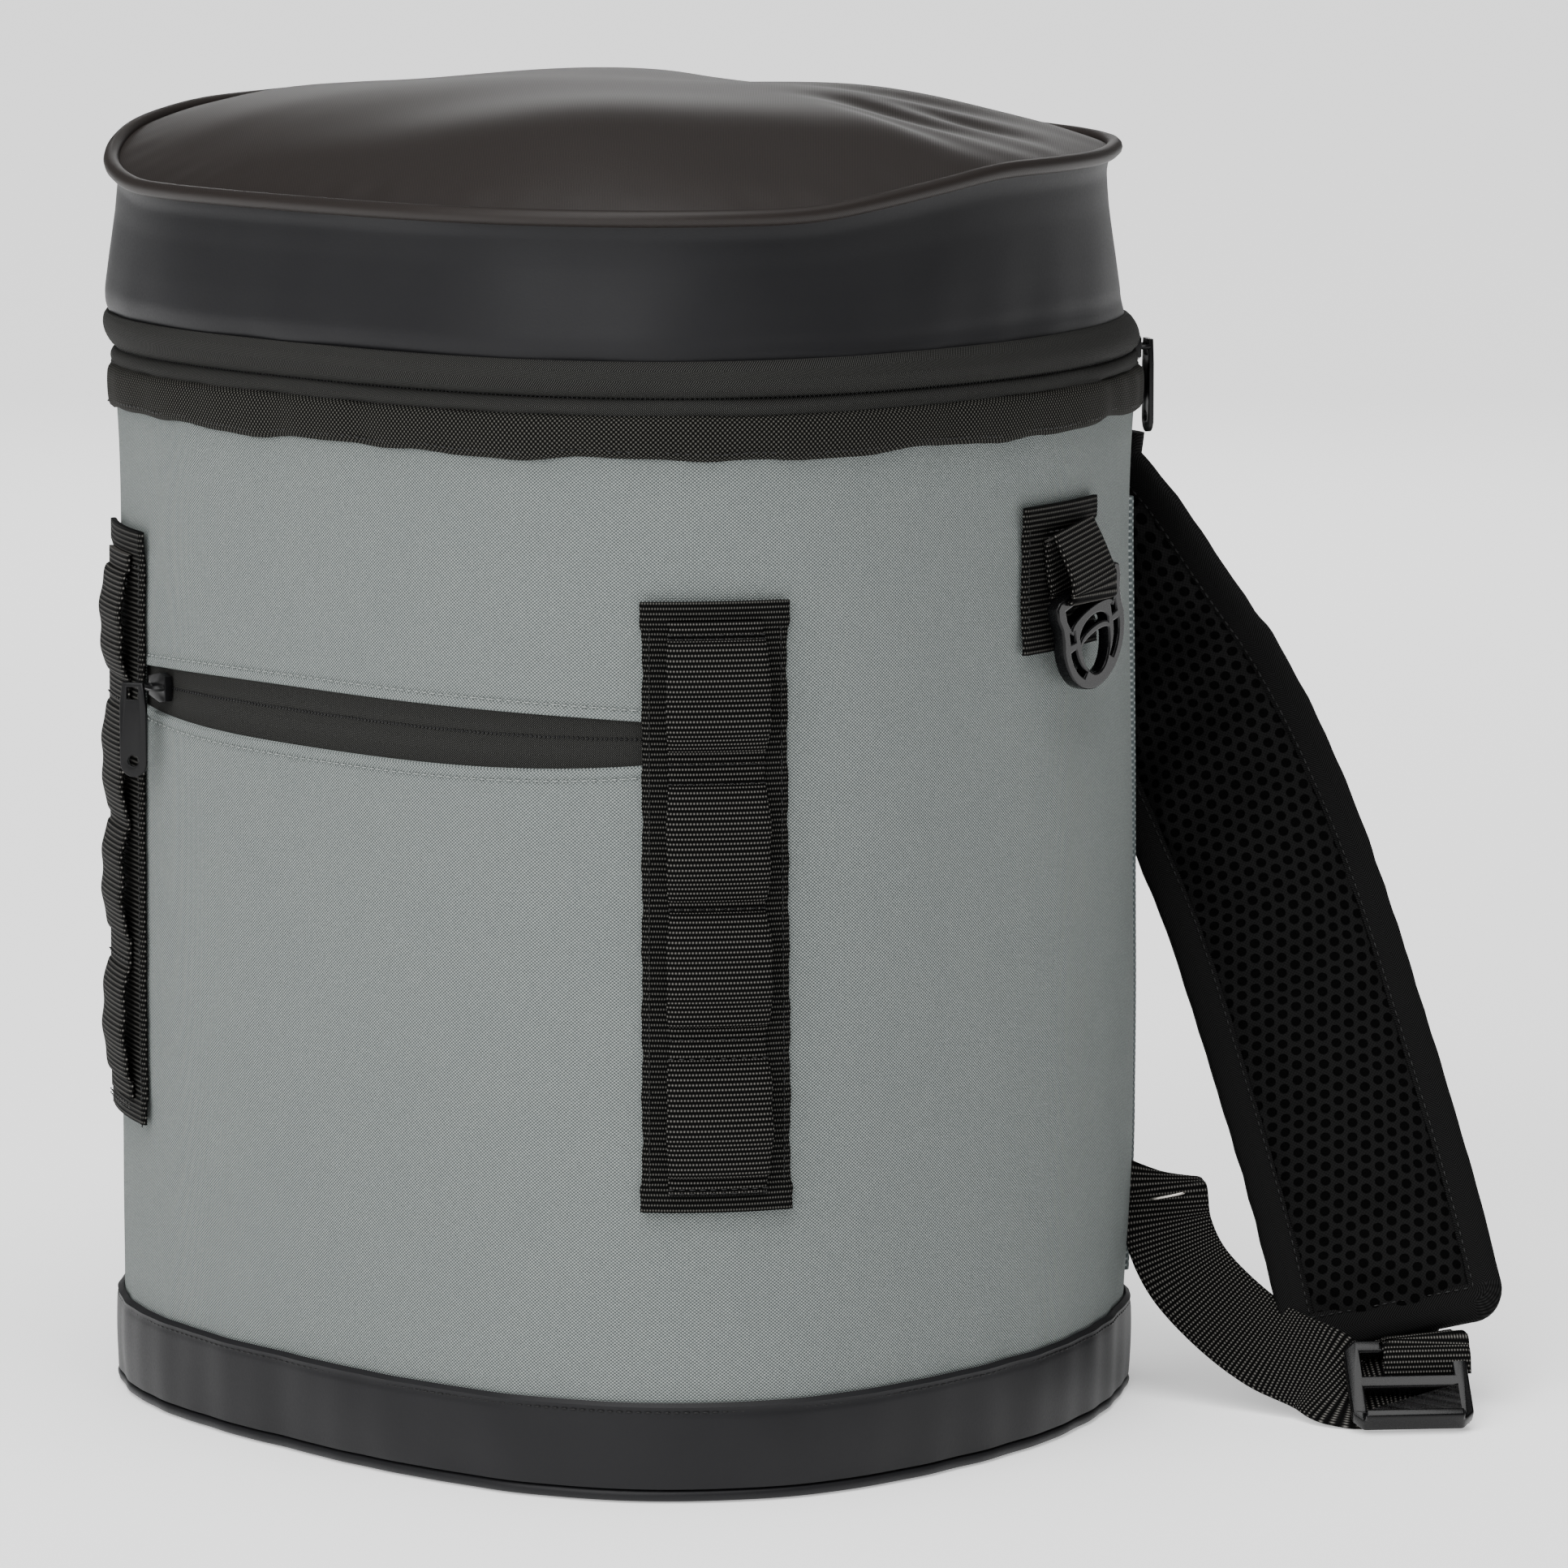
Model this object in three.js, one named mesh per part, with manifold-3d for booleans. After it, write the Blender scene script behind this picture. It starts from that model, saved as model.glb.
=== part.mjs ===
// A soft-sided cooler backpack, standing on its base with its lid zipped shut.
// Millimetres. The origin is on the floor under the widest line, the front faces -Y, the wearer's back is +Y.
import * as THREE from "three";
import { mergeVertices } from "three/addons/utils/BufferGeometryUtils.js";
import Module from "manifold-3d";

const wasm = await Module();
wasm.setup();

// Clearance between neighbouring pieces
const gap = 0.3;

// Body: a D-shaped bucket of padded cloth
const bodyHeight = 283;
const bodyHalfWidth = 134.7;
const frontDepth = 110.5;
const frontFullness = 2.62; // exponent of the front's rounded outline, 2 is an ellipse
const backDepth = 120.5;
const sideTaperDepth = 156; // where the tapering sides would meet behind the bag
const backCornerReach = 18;
const bodyWall = 8;
const bodyFloor = 8;
const bottomBend = 4; // how far the cloth turns in at the bottom edge

// Base: bottom panel, piping round its edge and the coated band above it
const basePanelThickness = 3;
const basePanelInset = 1.4;
const basePipingRadius = 1.6;
const baseBandTop = 26.5;
const baseBandThickness = 1.6;

// Lid zipper and the binding under it
const bindingWidth = 11.5;
const bindingThickness = 2;
const tapeThickness = 1.1;
const lowerTapeWidth = 4.2;
const upperTapeWidth = 7.2;
const coilRadius = 1.2;
const zipperEnd = 0.9; // share of the half outline, from the front, where the teeth stop

// Lid: side band, piping round the rim and a domed top
const lidBandHeight = 38;
const rimRise = 12; // how much higher the rim stands at the back than at the front
const lidWall = 6;
const rimPipingRadius = 2.2;
const lidDome = 27; // the dome's top over the front rim
const lidShift = 2.2; // how far the soft lid leans to the front and to the left

// Front pocket's zipper
const pocketHeight = 199.5;
const pocketOpening = 15;
const pocketTapeThickness = 1;
const pocketCoilRadius = 0.8;

// Webbing ladders beside the pocket
const pocketPlace = 0.047; // the pocket's middle, share of the half outline round to the right
const ladderSpread = 0.262; // from the pocket's middle to each ladder
const backingWidth = 38;
const backingThickness = 1.6;
const ladderBottom = 76;
const ladderDrop = 38.5; // from the binding
const ladderEndMargin = 5;
const loopCount = 4;
const loopBulge = 3.2;
const webbingWidth = 25;
const webbingThickness = 1.5;

// Side tabs with D-rings
const ringPlace = 0.591;
const ringPatchDrop = 18.5; // from the binding
const ringPatchHeight = 39;
const ringTabInset = 6; // from the top of the patch
const ringTabDrop = 17;
const ringTabStandOff = 6.4;
const ringWidth = 36;
const ringHeight = 29;
const ringThickness = 3.6;
const ringArm = 4.4;
const ringBar = 3;
const ringSlotHeight = 4.6;

// Zipper sliders and pulls
const sliderLength = 10;
const sliderWidth = 8;
const sliderThickness = 3;
const bridgeHeight = 2.6;
const bridgeWire = 1.5;
const pullLength = 24;
const pullWidth = 7.6;
const pullThickness = 1.3;
const lidSliderPlace = 0.78; // share of the half outline for the first of the two lid sliders
const lidSliderSpacing = 15;
const pocketSliderInset = 9; // from the ladder's backing to the slider's middle

// Back: yoke that holds the shoulder straps, bound corner seams
const yokeDrop = 2.5; // from the binding
const yokeHeight = 24;
const yokeThickness = 1.8;
const yokeEnd = 0.79;
const seamPlace = 0.8;
const seamDrop = 11; // from the yoke
const seamBottom = 29;
const seamRadius = 2.2;

// Shoulder straps: padded upper part with bound edges
const padWidth = 62;
const padThickness = 11;
const padAnchorInset = 6; // from the top of the yoke
const padAnchorSpread = 50; // from the middle of the back to each strap's middle
const padBindingWidth = 9.5;
const padBindingThickness = 4;
const padEndHeight = 21;

// Lower straps: webbing from the body's back corners to the adjusters
const adjusterWidth = 33;
const adjusterLength = 28;
const adjusterThickness = 4;
const adjusterBar = 4;
const webbingAnchorHeight = 46;
const stapleLength = 9.3;
const stapleWire = 0.9;
const staplePlace = 0.12; // share of the lower webbing from the corner

// Mesh fineness
const ringCount = 48;
const pipingSides = 5;

const bodyBottom = basePanelThickness + gap;
const bindingBottom = bodyHeight - bindingWidth;
const ladderTop = bindingBottom - ladderDrop;
const ringPatchTop = bindingBottom - ringPatchDrop;
const ringTabTop = ringPatchTop - ringTabInset;
const yokeTop = bindingBottom - yokeDrop;
const seamTop = yokeTop - yokeHeight - seamDrop;
const padAnchorHeight = yokeTop - padAnchorInset;
const zipperHeight = bodyHeight + gap + lowerTapeWidth;
const lidSeamHeight = zipperHeight + gap + upperTapeWidth + gap;

const group = new THREE.Group();
group.name = "cooler_backpack";

const colors = {
  greyCloth: { color: 0x80878a, roughness: 0.9, metalness: 0 },
  coatedCloth: { color: 0x25262a, roughness: 0.55, metalness: 0 },
  lidCloth: { color: 0x2b2625, roughness: 0.6, metalness: 0 },
  webbing: { color: 0x161617, roughness: 0.85, metalness: 0 },
  meshCloth: { color: 0x0c0c0d, roughness: 0.9, metalness: 0 },
  plastic: { color: 0x121214, roughness: 0.35, metalness: 0 },
  zipperMetal: { color: 0x1a1a1c, roughness: 0.4, metalness: 0.3 },
  wire: { color: 0xb9b6b0, roughness: 0.3, metalness: 1 },
};

function addPiece(name, geometry, finish) {
  const mesh = new THREE.Mesh(geometry, new THREE.MeshStandardMaterial(colors[finish]));
  mesh.name = name;
  group.add(mesh);
}

// Closed skin over rows of points: each row is a closed loop, rows join in order.
// closed joins the last row to the first; otherwise both ends get a cap.
function skin(rows, closed = false) {
  const width = rows[0].length;
  const positions = rows.flat().flatMap((p) => [p.x, p.y, p.z]);
  const index = [];
  const rowCount = closed ? rows.length : rows.length - 1;
  for (let r = 0; r < rowCount; r++) {
    for (let c = 0; c < width; c++) {
      const a = r * width + c;
      const b = r * width + ((c + 1) % width);
      const d = ((r + 1) % rows.length) * width + c;
      const e = ((r + 1) % rows.length) * width + ((c + 1) % width);
      index.push(a, b, e, a, e, d);
    }
  }
  if (!closed) {
    const last = (rows.length - 1) * width;
    capOf(rows[0]).forEach(([a, b, c]) => index.push(a, c, b));
    capOf(rows[rows.length - 1]).forEach(([a, b, c]) => index.push(last + a, last + b, last + c));
  }
  return facingOut(positions, index);
}

// Triangles over a flat loop of points, turned the way that the loop runs
function capOf(row) {
  const normal = new THREE.Vector3();
  row.forEach((p, i) => normal.add(new THREE.Vector3().crossVectors(p, row[(i + 1) % row.length])));
  normal.normalize();
  const aside = Math.abs(normal.z) < 0.9 ? new THREE.Vector3(0, 0, 1) : new THREE.Vector3(1, 0, 0);
  const u = new THREE.Vector3().crossVectors(aside, normal).normalize();
  const v = new THREE.Vector3().crossVectors(normal, u);
  const flat = row.map((p) => new THREE.Vector2(p.dot(u), p.dot(v)));
  return THREE.ShapeUtils.triangulateShape(flat, []);
}

function facingOut(positions, index) {
  let volume = 0;
  for (let i = 0; i < index.length; i += 3) {
    const [a, b, c] = [0, 1, 2].map((k) => new THREE.Vector3().fromArray(positions, index[i + k] * 3));
    volume += a.dot(b.cross(c));
  }
  if (volume < 0) index.reverse();
  const geometry = new THREE.BufferGeometry();
  geometry.setAttribute("position", new THREE.Float32BufferAttribute(positions, 3));
  geometry.setIndex(index);
  return geometry;
}

function solidOf(geometry) {
  const plain = geometry.clone();
  plain.deleteAttribute("normal");
  plain.deleteAttribute("uv");
  const merged = mergeVertices(plain, 1e-4);
  const vertProperties = new Float32Array(merged.attributes.position.array);
  const triVerts = new Uint32Array(merged.index.array);
  return new wasm.Manifold(new wasm.Mesh({ numProp: 3, vertProperties, triVerts }));
}

function geometryOf(solid) {
  const mesh = solid.getMesh();
  const geometry = new THREE.BufferGeometry();
  geometry.setAttribute("position", new THREE.BufferAttribute(new Float32Array(mesh.vertProperties), 3));
  geometry.setIndex(new THREE.BufferAttribute(new Uint32Array(mesh.triVerts), 1));
  return geometry;
}

// The value of a table's column at a place, joined straight between its rows
function lookUp(table, key, place, column) {
  if (place <= table[0][key]) return table[0][column];
  for (let i = 1; i < table.length; i++) {
    if (place <= table[i][key]) {
      const t = (place - table[i - 1][key]) / (table[i][key] - table[i - 1][key]);
      return THREE.MathUtils.lerp(table[i - 1][column], table[i][column], t);
    }
  }
  return table[table.length - 1][column];
}

// Right half of the bag's outline, from the middle of the front to the middle of the back
function outlineHalf() {
  const half = [];
  const steps = 60;
  for (let k = 0; k <= steps; k++) {
    const turn = (k / steps) * (Math.PI / 2);
    const x = bodyHalfWidth * Math.sin(turn) ** (2 / frontFullness);
    half.push(new THREE.Vector2(x, -frontDepth * Math.cos(turn) ** (2 / frontFullness)));
  }
  const cornerTurn = Math.asin((backDepth - backCornerReach) / sideTaperDepth);
  for (let k = 1; k <= steps; k++) {
    const turn = (k / steps) * cornerTurn;
    half.push(new THREE.Vector2(bodyHalfWidth * Math.cos(turn), sideTaperDepth * Math.sin(turn)));
  }
  const start = half[half.length - 1];
  const slope = (bodyHalfWidth * Math.sin(cornerTurn)) / (sideTaperDepth * Math.cos(cornerTurn));
  const corner = new THREE.Vector2(start.x - slope * backCornerReach, backDepth);
  const reach = start.distanceTo(corner);
  const bend = new THREE.QuadraticBezierCurve(start, corner, new THREE.Vector2(corner.x - reach, backDepth));
  half.push(...bend.getPoints(steps).slice(1));
  half.push(new THREE.Vector2(0, backDepth));
  return half;
}

const outline = outlineHalf();
const lengths = outline.reduce((sum, p, i) => {
  sum.push(i === 0 ? 0 : sum[i - 1] + p.distanceTo(outline[i - 1]));
  return sum;
}, []);
const halfOutline = lengths[lengths.length - 1];

// Corners of the faceted outline, evenly spaced from the middle of the back round by the left, each with its
// outward direction. Every piece on the bag follows these facets, so that neighbours keep their gap.
const facets = Array.from({ length: ringCount + 1 }, (_, k) => {
  const length = (-1 + (2 * k) / ringCount) * halfOutline;
  const p = pointAtLength(length);
  const run = directionAt(length);
  return { x: p.x, y: p.y, nx: run.y, ny: -run.x };
});

// Point of the outline at a signed share: 0 is the middle of the front, 1 the middle of the back, positive
// to the right. Shares over 1 go on round the back.
function outlineAt(share) {
  const around = share > 1 ? share - 2 : share;
  const place = ((around + 1) / 2) * ringCount;
  const k = Math.min(ringCount - 1, Math.max(0, Math.floor(place)));
  const part = (key) => THREE.MathUtils.lerp(facets[k][key], facets[k + 1][key], place - k);
  return { x: part("x"), y: part("y"), nx: part("nx"), ny: part("ny") };
}

// Direction of the outline at a length from the front, taken over a short stretch
function directionAt(length) {
  const stretch = 4;
  return pointAtLength(length + stretch).sub(pointAtLength(length - stretch)).normalize();
}

function pointAtLength(length) {
  if (length < 0) {
    const p = pointAtLength(-length);
    return new THREE.Vector2(-p.x, p.y);
  }
  if (length > halfOutline) {
    const p = pointAtLength(2 * halfOutline - length);
    return new THREE.Vector2(-p.x, p.y);
  }
  const i = Math.max(1, lengths.findIndex((l) => l >= length));
  const t = (length - lengths[i - 1]) / (lengths[i] - lengths[i - 1]);
  return outline[i - 1].clone().lerp(outline[i], t);
}

// How far the cloth stands out over the outline, up the body
const bodyForm = [
  { up: 0, out: 0 },
  { up: 0.16, out: 0.2 },
  { up: 0.38, out: 1 },
  { up: 0.62, out: 0.1 },
  { up: 0.88, out: -1 },
  { up: 1, out: -0.4 },
];

// Point on the bag's cloth: share round the outline, height, and distance out from the cloth
function onBag(share, height, out = 0) {
  const p = outlineAt(share);
  const form = lookUp(bodyForm, "up", height / bodyHeight, "out");
  const lean = lidShift * THREE.MathUtils.smoothstep(height, zipperHeight, lidSeamHeight + upperTapeWidth);
  return new THREE.Vector3(p.x + p.nx * (out + form) - lean, p.y + p.ny * (out + form) - lean, height);
}

// A point moved straight out from the bag where it lies nearer to the wall than a distance
function clearOfBag(point, distance) {
  let wall = onBag(0, point.z);
  let out = onBag(0, point.z, 1).sub(wall);
  for (let share = -1; share < 1; share += 0.005) {
    const spot = onBag(share, point.z);
    if (spot.distanceTo(point) > wall.distanceTo(point)) continue;
    wall = spot;
    out = onBag(share, point.z, 1).sub(wall);
  }
  const short = distance - point.clone().sub(wall).dot(out);
  return short > 0 ? point.clone().addScaledVector(out, short) : point;
}

// Share of the half outline that a length in millimetres takes
const shareOf = (length) => length / halfOutline;

// Hoop round the whole bag. section gives a closed list of { out, height } for a share.
function hoop(section) {
  const rows = [];
  for (let k = 0; k < ringCount; k++) {
    const share = -1 + (2 * k) / ringCount;
    rows.push(section(share).map((s) => onBag(share, s.height, s.out)));
  }
  return skin(rows, true);
}

// Shares from one place to another with every facet corner between them
function sharesBetween(from, to) {
  const shares = [from];
  const spare = 0.02 / ringCount;
  for (let k = Math.floor(from * ringCount / 2); k <= to * ringCount / 2; k++) {
    const share = (2 * k) / ringCount;
    if (share > from + spare && share < to - spare) shares.push(share);
  }
  return [...shares, to];
}

// Strip along part of the outline, with the same kind of section
function strip(from, to, section) {
  return skin(sharesBetween(from, to).map((share) => section(share).map((s) => onBag(share, s.height, s.out))));
}

// Patch of webbing on the cloth: rows up its height, each across its width. out gives its inner face's distance.
function patch(middle, width, heights, out, thickness) {
  const half = shareOf(width) / 2;
  const shares = sharesBetween(middle - half, middle + half);
  return skin(
    heights.map((height) => [
      ...shares.map((share) => onBag(share, height, out(height))),
      ...[...shares].reverse().map((share) => onBag(share, height, out(height) + thickness)),
    ]),
  );
}

const evenly = (from, to, steps) => Array.from({ length: steps + 1 }, (_, k) => from + ((to - from) * k) / steps);

// Even steps up the cloth, with the heights where its form bends
function heightsBetween(from, to, steps) {
  const heights = evenly(from, to, steps);
  const bends = bodyForm.map((row) => row.up * bodyHeight).filter((bend) => bend > from && bend < to);
  const between = bends.filter((bend) => heights.every((h) => Math.abs(h - bend) > gap));
  return [...heights, ...between].sort((a, b) => a - b);
}

function box(inner, outer, low, high) {
  return [
    { out: inner, height: low },
    { out: outer, height: low },
    { out: outer, height: high },
    { out: inner, height: high },
  ];
}

function roundSection(out, height, radius, sides = pipingSides) {
  return Array.from({ length: sides }, (_, k) => {
    const turn = (2 * Math.PI * (k + 0.5)) / sides;
    return { out: out + radius * Math.cos(turn), height: height + radius * Math.sin(turn) };
  });
}

function ringRow(height, out) {
  return Array.from({ length: ringCount }, (_, k) => onBag(-1 + (2 * k) / ringCount, height, out));
}

// Body shell: outside from the bottom up, over the top edge and down the inside to its floor
function bodyShell() {
  const rows = [ringRow(bodyBottom, -bottomBend), ringRow(bodyBottom + bottomBend, 0)];
  const heights = bodyForm.slice(1).map((row) => row.up * bodyHeight);
  heights.forEach((height) => rows.push(ringRow(height, 0)));
  [...heights].reverse().forEach((height) => rows.push(ringRow(height, -bodyWall)));
  rows.push(ringRow(bodyBottom + bodyFloor, -bodyWall - bottomBend));
  const room = strip(pocketPlace - pocketReach(), pocketPlace + pocketReach(), (share) =>
    pocketSection(share, -pocketTapeThickness - 2 * pocketCoilRadius - 3 * gap, 6, gap),
  );
  return geometryOf(solidOf(skin(rows)).subtract(solidOf(room)));
}

// Front pocket's opening: widest in the middle, closing towards the ladders
function pocketReach() {
  return ladderSpread - shareOf(backingWidth / 2 + gap);
}

function pocketSection(share, inner, outer, spare) {
  const closing = 1 - 0.28 * Math.abs((share - pocketPlace) / pocketReach()) ** 3;
  const low = pocketHeight - pocketOpening * 0.62 * closing - spare;
  const high = pocketHeight + pocketOpening * 0.42 * closing + spare;
  return box(inner, outer, low, high);
}

addPiece("body_shell", bodyShell(), "greyCloth");

const panelEdge = -basePanelInset;
addPiece(
  "base_panel",
  skin([ringRow(0, panelEdge - 1), ringRow(1, panelEdge), ringRow(basePanelThickness, panelEdge)]),
  "coatedCloth",
);
const basePipingHeight = basePipingRadius + gap;
const basePipingOut = basePipingRadius - basePanelInset + gap;
const basePiping = hoop(() => roundSection(basePipingOut, basePipingHeight, basePipingRadius));
addPiece("base_piping", basePiping, "coatedCloth");
const baseBandBottom = basePipingHeight + basePipingRadius + gap;
addPiece(
  "base_band",
  hoop(() => [
    { out: gap, height: bodyBottom + bottomBend },
    { out: baseBandThickness + gap, height: baseBandBottom },
    { out: baseBandThickness + 2 * gap, height: baseBandBottom + 0.4 * (baseBandTop - baseBandBottom) },
    { out: baseBandThickness + gap, height: baseBandTop },
    { out: gap, height: baseBandTop },
  ]),
  "coatedCloth",
);

// Binding round the body's top edge, rippled along its lower edge
function ripple(share) {
  return 0.5 * Math.sin(31 * share) + 0.35 * Math.sin(57 * share + 1);
}

addPiece(
  "binding_band",
  hoop((share) => [
    { out: gap, height: bodyHeight - bindingWidth + ripple(share) },
    { out: gap + bindingThickness, height: bodyHeight - bindingWidth + ripple(share) },
    { out: gap + bindingThickness + 0.4, height: bodyHeight - bindingWidth / 2 },
    { out: gap + bindingThickness, height: bodyHeight },
    { out: gap, height: bodyHeight },
  ]),
  "webbing",
);

const tapeOut = gap;
const lowTape = bodyHeight + gap;
addPiece(
  "zipper_tape_lower",
  strip(-zipperEnd, zipperEnd, () => box(tapeOut - tapeThickness, tapeOut, lowTape, zipperHeight - gap / 2)),
  "webbing",
);
const upTapeTop = lidSeamHeight - gap;
addPiece(
  "zipper_tape_upper",
  strip(-zipperEnd, zipperEnd, () => box(tapeOut - tapeThickness, tapeOut, zipperHeight + gap / 2, upTapeTop)),
  "webbing",
);
const coilOut = tapeOut - tapeThickness - gap - coilRadius;
addPiece(
  "zipper_coil",
  strip(-zipperEnd, zipperEnd, () => roundSection(coilOut, zipperHeight, coilRadius, 4)),
  "zipperMetal",
);
const hingeSpread = 1 - zipperEnd - 2 * shareOf(gap);
addPiece(
  "lid_hinge",
  strip(1 - hingeSpread, 1 + hingeSpread, () => box(tapeOut - tapeThickness, tapeOut, lowTape, upTapeTop)),
  "webbing",
);

// Height of the rim over its front, round the outline: low at the front, high at the sides and the back.
// The share is positive to the right.
const rimForm = [
  { share: -1, rise: 1 },
  { share: -0.62, rise: 0.95 },
  { share: -0.4, rise: 0.12 },
  { share: -0.2, rise: -0.08 },
  { share: 0.38, rise: 0.04 },
  { share: 0.54, rise: 0.85 },
  { share: 0.7, rise: 0.75 },
  { share: 1, rise: 1 },
];

const rimHeight = (share) => lidSeamHeight + lidBandHeight + rimRise * lookUp(rimForm, "share", share, "rise");

// How far the lid's side stands out, from its seam up to the rim
const lidForm = [
  { up: 0, out: 2.4 },
  { up: 0.12, out: 3.2 },
  { up: 0.4, out: 1.8 },
  { up: 0.7, out: 0 },
  { up: 0.9, out: -0.4 },
];

addPiece(
  "lid_band",
  hoop((share) => {
    const top = rimHeight(share) - rimPipingRadius - gap;
    const height = (up) => THREE.MathUtils.lerp(lidSeamHeight, top, up);
    return [
      ...lidForm.map((row) => ({ out: row.out, height: height(row.up) })),
      { out: 0.6, height: top },
      { out: -lidWall, height: top },
      { out: -lidWall, height: lidSeamHeight },
    ];
  }),
  "coatedCloth",
);

const rimOut = 1.6;
addPiece("rim_piping", hoop((share) => roundSection(rimOut, rimHeight(share), rimPipingRadius)), "lidCloth");

// Tension folds of the lid's top: where they run out from the rim, how wide and how deep
const lidFolds = [
  { share: 0.6, spread: 0.03, depth: 2.2 },
  { share: 0.68, spread: 0.025, depth: 2.6 },
  { share: 0.76, spread: 0.03, depth: 2 },
  { share: -0.58, spread: 0.05, depth: 1.6 },
];

function foldDepth(share, inward) {
  const fade = Math.sin(Math.PI * Math.min(1, inward * 1.6)) ** 2;
  return lidFolds.reduce((sum, f) => sum + f.depth * fade * Math.exp(-(((share - f.share) / f.spread) ** 2)), 0);
}

// Lid's top: rows from the middle out to the rim and back along its underside
function lidTop() {
  const edge = rimOut - rimPipingRadius - gap;
  const crown = lidSeamHeight + lidBandHeight + lidDome;
  const inwards = [0.8, 0.56, 0.36, 0.2, 0.07, 0];
  const row = (inward, drop) =>
    Array.from({ length: ringCount }, (_, k) => {
      const share = -1 + (2 * k) / ringCount;
      const rim = onBag(share, rimHeight(share), edge);
      const rise = 1 - (1 - inward) ** 2.3;
      const height = THREE.MathUtils.lerp(rimHeight(share), crown, rise) - foldDepth(share, inward);
      return new THREE.Vector3(rim.x * (1 - inward), rim.y * (1 - inward), height - drop);
    });
  const over = inwards.map((inward) => row(inward, 0));
  const under = [0.28, 0.6].map((inward) => row(inward, lidWall));
  return skin([...over, row(0, rimPipingRadius), row(0.07, rimPipingRadius), ...under]);
}

addPiece("lid_top", lidTop(), "lidCloth");

// Front pocket's zipper, let into the cloth
const pocketFloor = -pocketTapeThickness - gap;
addPiece(
  "pocket_tape",
  strip(pocketPlace - pocketReach(), pocketPlace + pocketReach(), (share) =>
    pocketSection(share, pocketFloor, -gap, -gap),
  ),
  "webbing",
);
addPiece(
  "pocket_coil",
  strip(pocketPlace - pocketReach(), pocketPlace + pocketReach(), () =>
    roundSection(pocketFloor - gap - pocketCoilRadius, pocketHeight, pocketCoilRadius, 5),
  ),
  "zipperMetal",
);

// Webbing ladder: backing flat on the cloth and a strip over it that is tacked down between its loops
const ladderRun = ladderTop - ladderBottom - 2 * ladderEndMargin;
const loopPitch = ladderRun / loopCount;

function ladder(side) {
  const name = side > 0 ? "right" : "left";
  const middle = pocketPlace + side * ladderSpread;
  const backingRows = heightsBetween(ladderBottom, ladderTop, 5);
  const backing = patch(middle, backingWidth, backingRows, () => gap, backingThickness);
  addPiece("ladder_backing_" + name, backing, "webbing");
  const stripBottom = ladderBottom + ladderEndMargin;
  const stripRows = heightsBetween(stripBottom, ladderTop - ladderEndMargin, loopCount * 5);
  const lift = (height) => {
    const inLoop = ((height - stripBottom) / loopPitch) % 1;
    return 2 * gap + backingThickness + loopBulge * Math.abs(Math.sin(Math.PI * inLoop)) ** 0.7;
  };
  addPiece("ladder_webbing_" + name, patch(middle, webbingWidth, stripRows, lift, webbingThickness), "webbing");
}

ladder(1);
ladder(-1);

// Directions at a place on the cloth: along the outline to the right, up, and out
function placeAxes(share, height, out) {
  const p = outlineAt(share);
  const outward = new THREE.Vector3(p.nx, p.ny, 0).normalize();
  const up = new THREE.Vector3(0, 0, 1);
  const along = new THREE.Vector3().crossVectors(up, outward);
  return new THREE.Matrix4().makeBasis(along, up, outward).setPosition(onBag(share, height, out));
}

// Flat ribbon with a rectangular section along a smooth route.
// stations: { at: point, wide: width direction }.
function ribbon(stations, width, thickness, steps) {
  const route = new THREE.CatmullRomCurve3(stations.map((s) => s.at), false, "centripetal");
  const rows = [];
  for (let k = 0; k <= steps; k++) {
    const { at, wide, normal } = ribbonFrame(route, stations, k / steps);
    rows.push(
      [[-0.5, -0.5], [0.5, -0.5], [0.5, 0.5], [-0.5, 0.5]].map(([w, t]) =>
        at.clone().addScaledVector(wide, w * width).addScaledVector(normal, t * thickness),
      ),
    );
  }
  return skin(rows);
}

function ribbonFrame(route, stations, t) {
  const place = t * (stations.length - 1);
  const i = Math.min(Math.floor(place), stations.length - 2);
  const at = route.getPoint(t);
  const run = route.getTangent(t);
  const wide = stations[i].wide.clone().lerp(stations[i + 1].wide, place - i);
  wide.addScaledVector(run, -wide.dot(run)).normalize();
  const normal = new THREE.Vector3().crossVectors(run, wide);
  return { at, run, wide, normal };
}

// D-ring: moulded plate with a webbing slot and an eye under it
function ringPlate() {
  const shape = new THREE.Shape();
  const half = ringWidth / 2;
  const straight = ringHeight - half;
  shape.moveTo(-half, 0);
  shape.absarc(-half + 2, -2 + 4, 2, Math.PI, Math.PI / 2, true);
  shape.lineTo(half - 2, 4);
  shape.absarc(half - 2, 2, 2, Math.PI / 2, 0, true);
  shape.lineTo(half, 4 - straight);
  shape.absellipse(0, 4 - straight, half, half, 0, -Math.PI, true);
  shape.closePath();
  return shape;
}

function ringHoles() {
  const half = ringWidth / 2 - ringArm;
  const slotTop = 4 - ringBar;
  const slot = new THREE.Path();
  slot.moveTo(-half, slotTop);
  slot.lineTo(-half, slotTop - ringSlotHeight);
  slot.lineTo(half, slotTop - ringSlotHeight);
  slot.lineTo(half, slotTop);
  slot.closePath();
  const eyeTop = slotTop - ringSlotHeight - ringBar;
  const straight = ringHeight - ringWidth / 2;
  const eye = new THREE.Path();
  eye.moveTo(-half, eyeTop);
  eye.absellipse(0, 4 - straight, half, half, Math.PI, 2 * Math.PI, false);
  eye.lineTo(half, eyeTop);
  eye.closePath();
  return [slot, eye];
}

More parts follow.
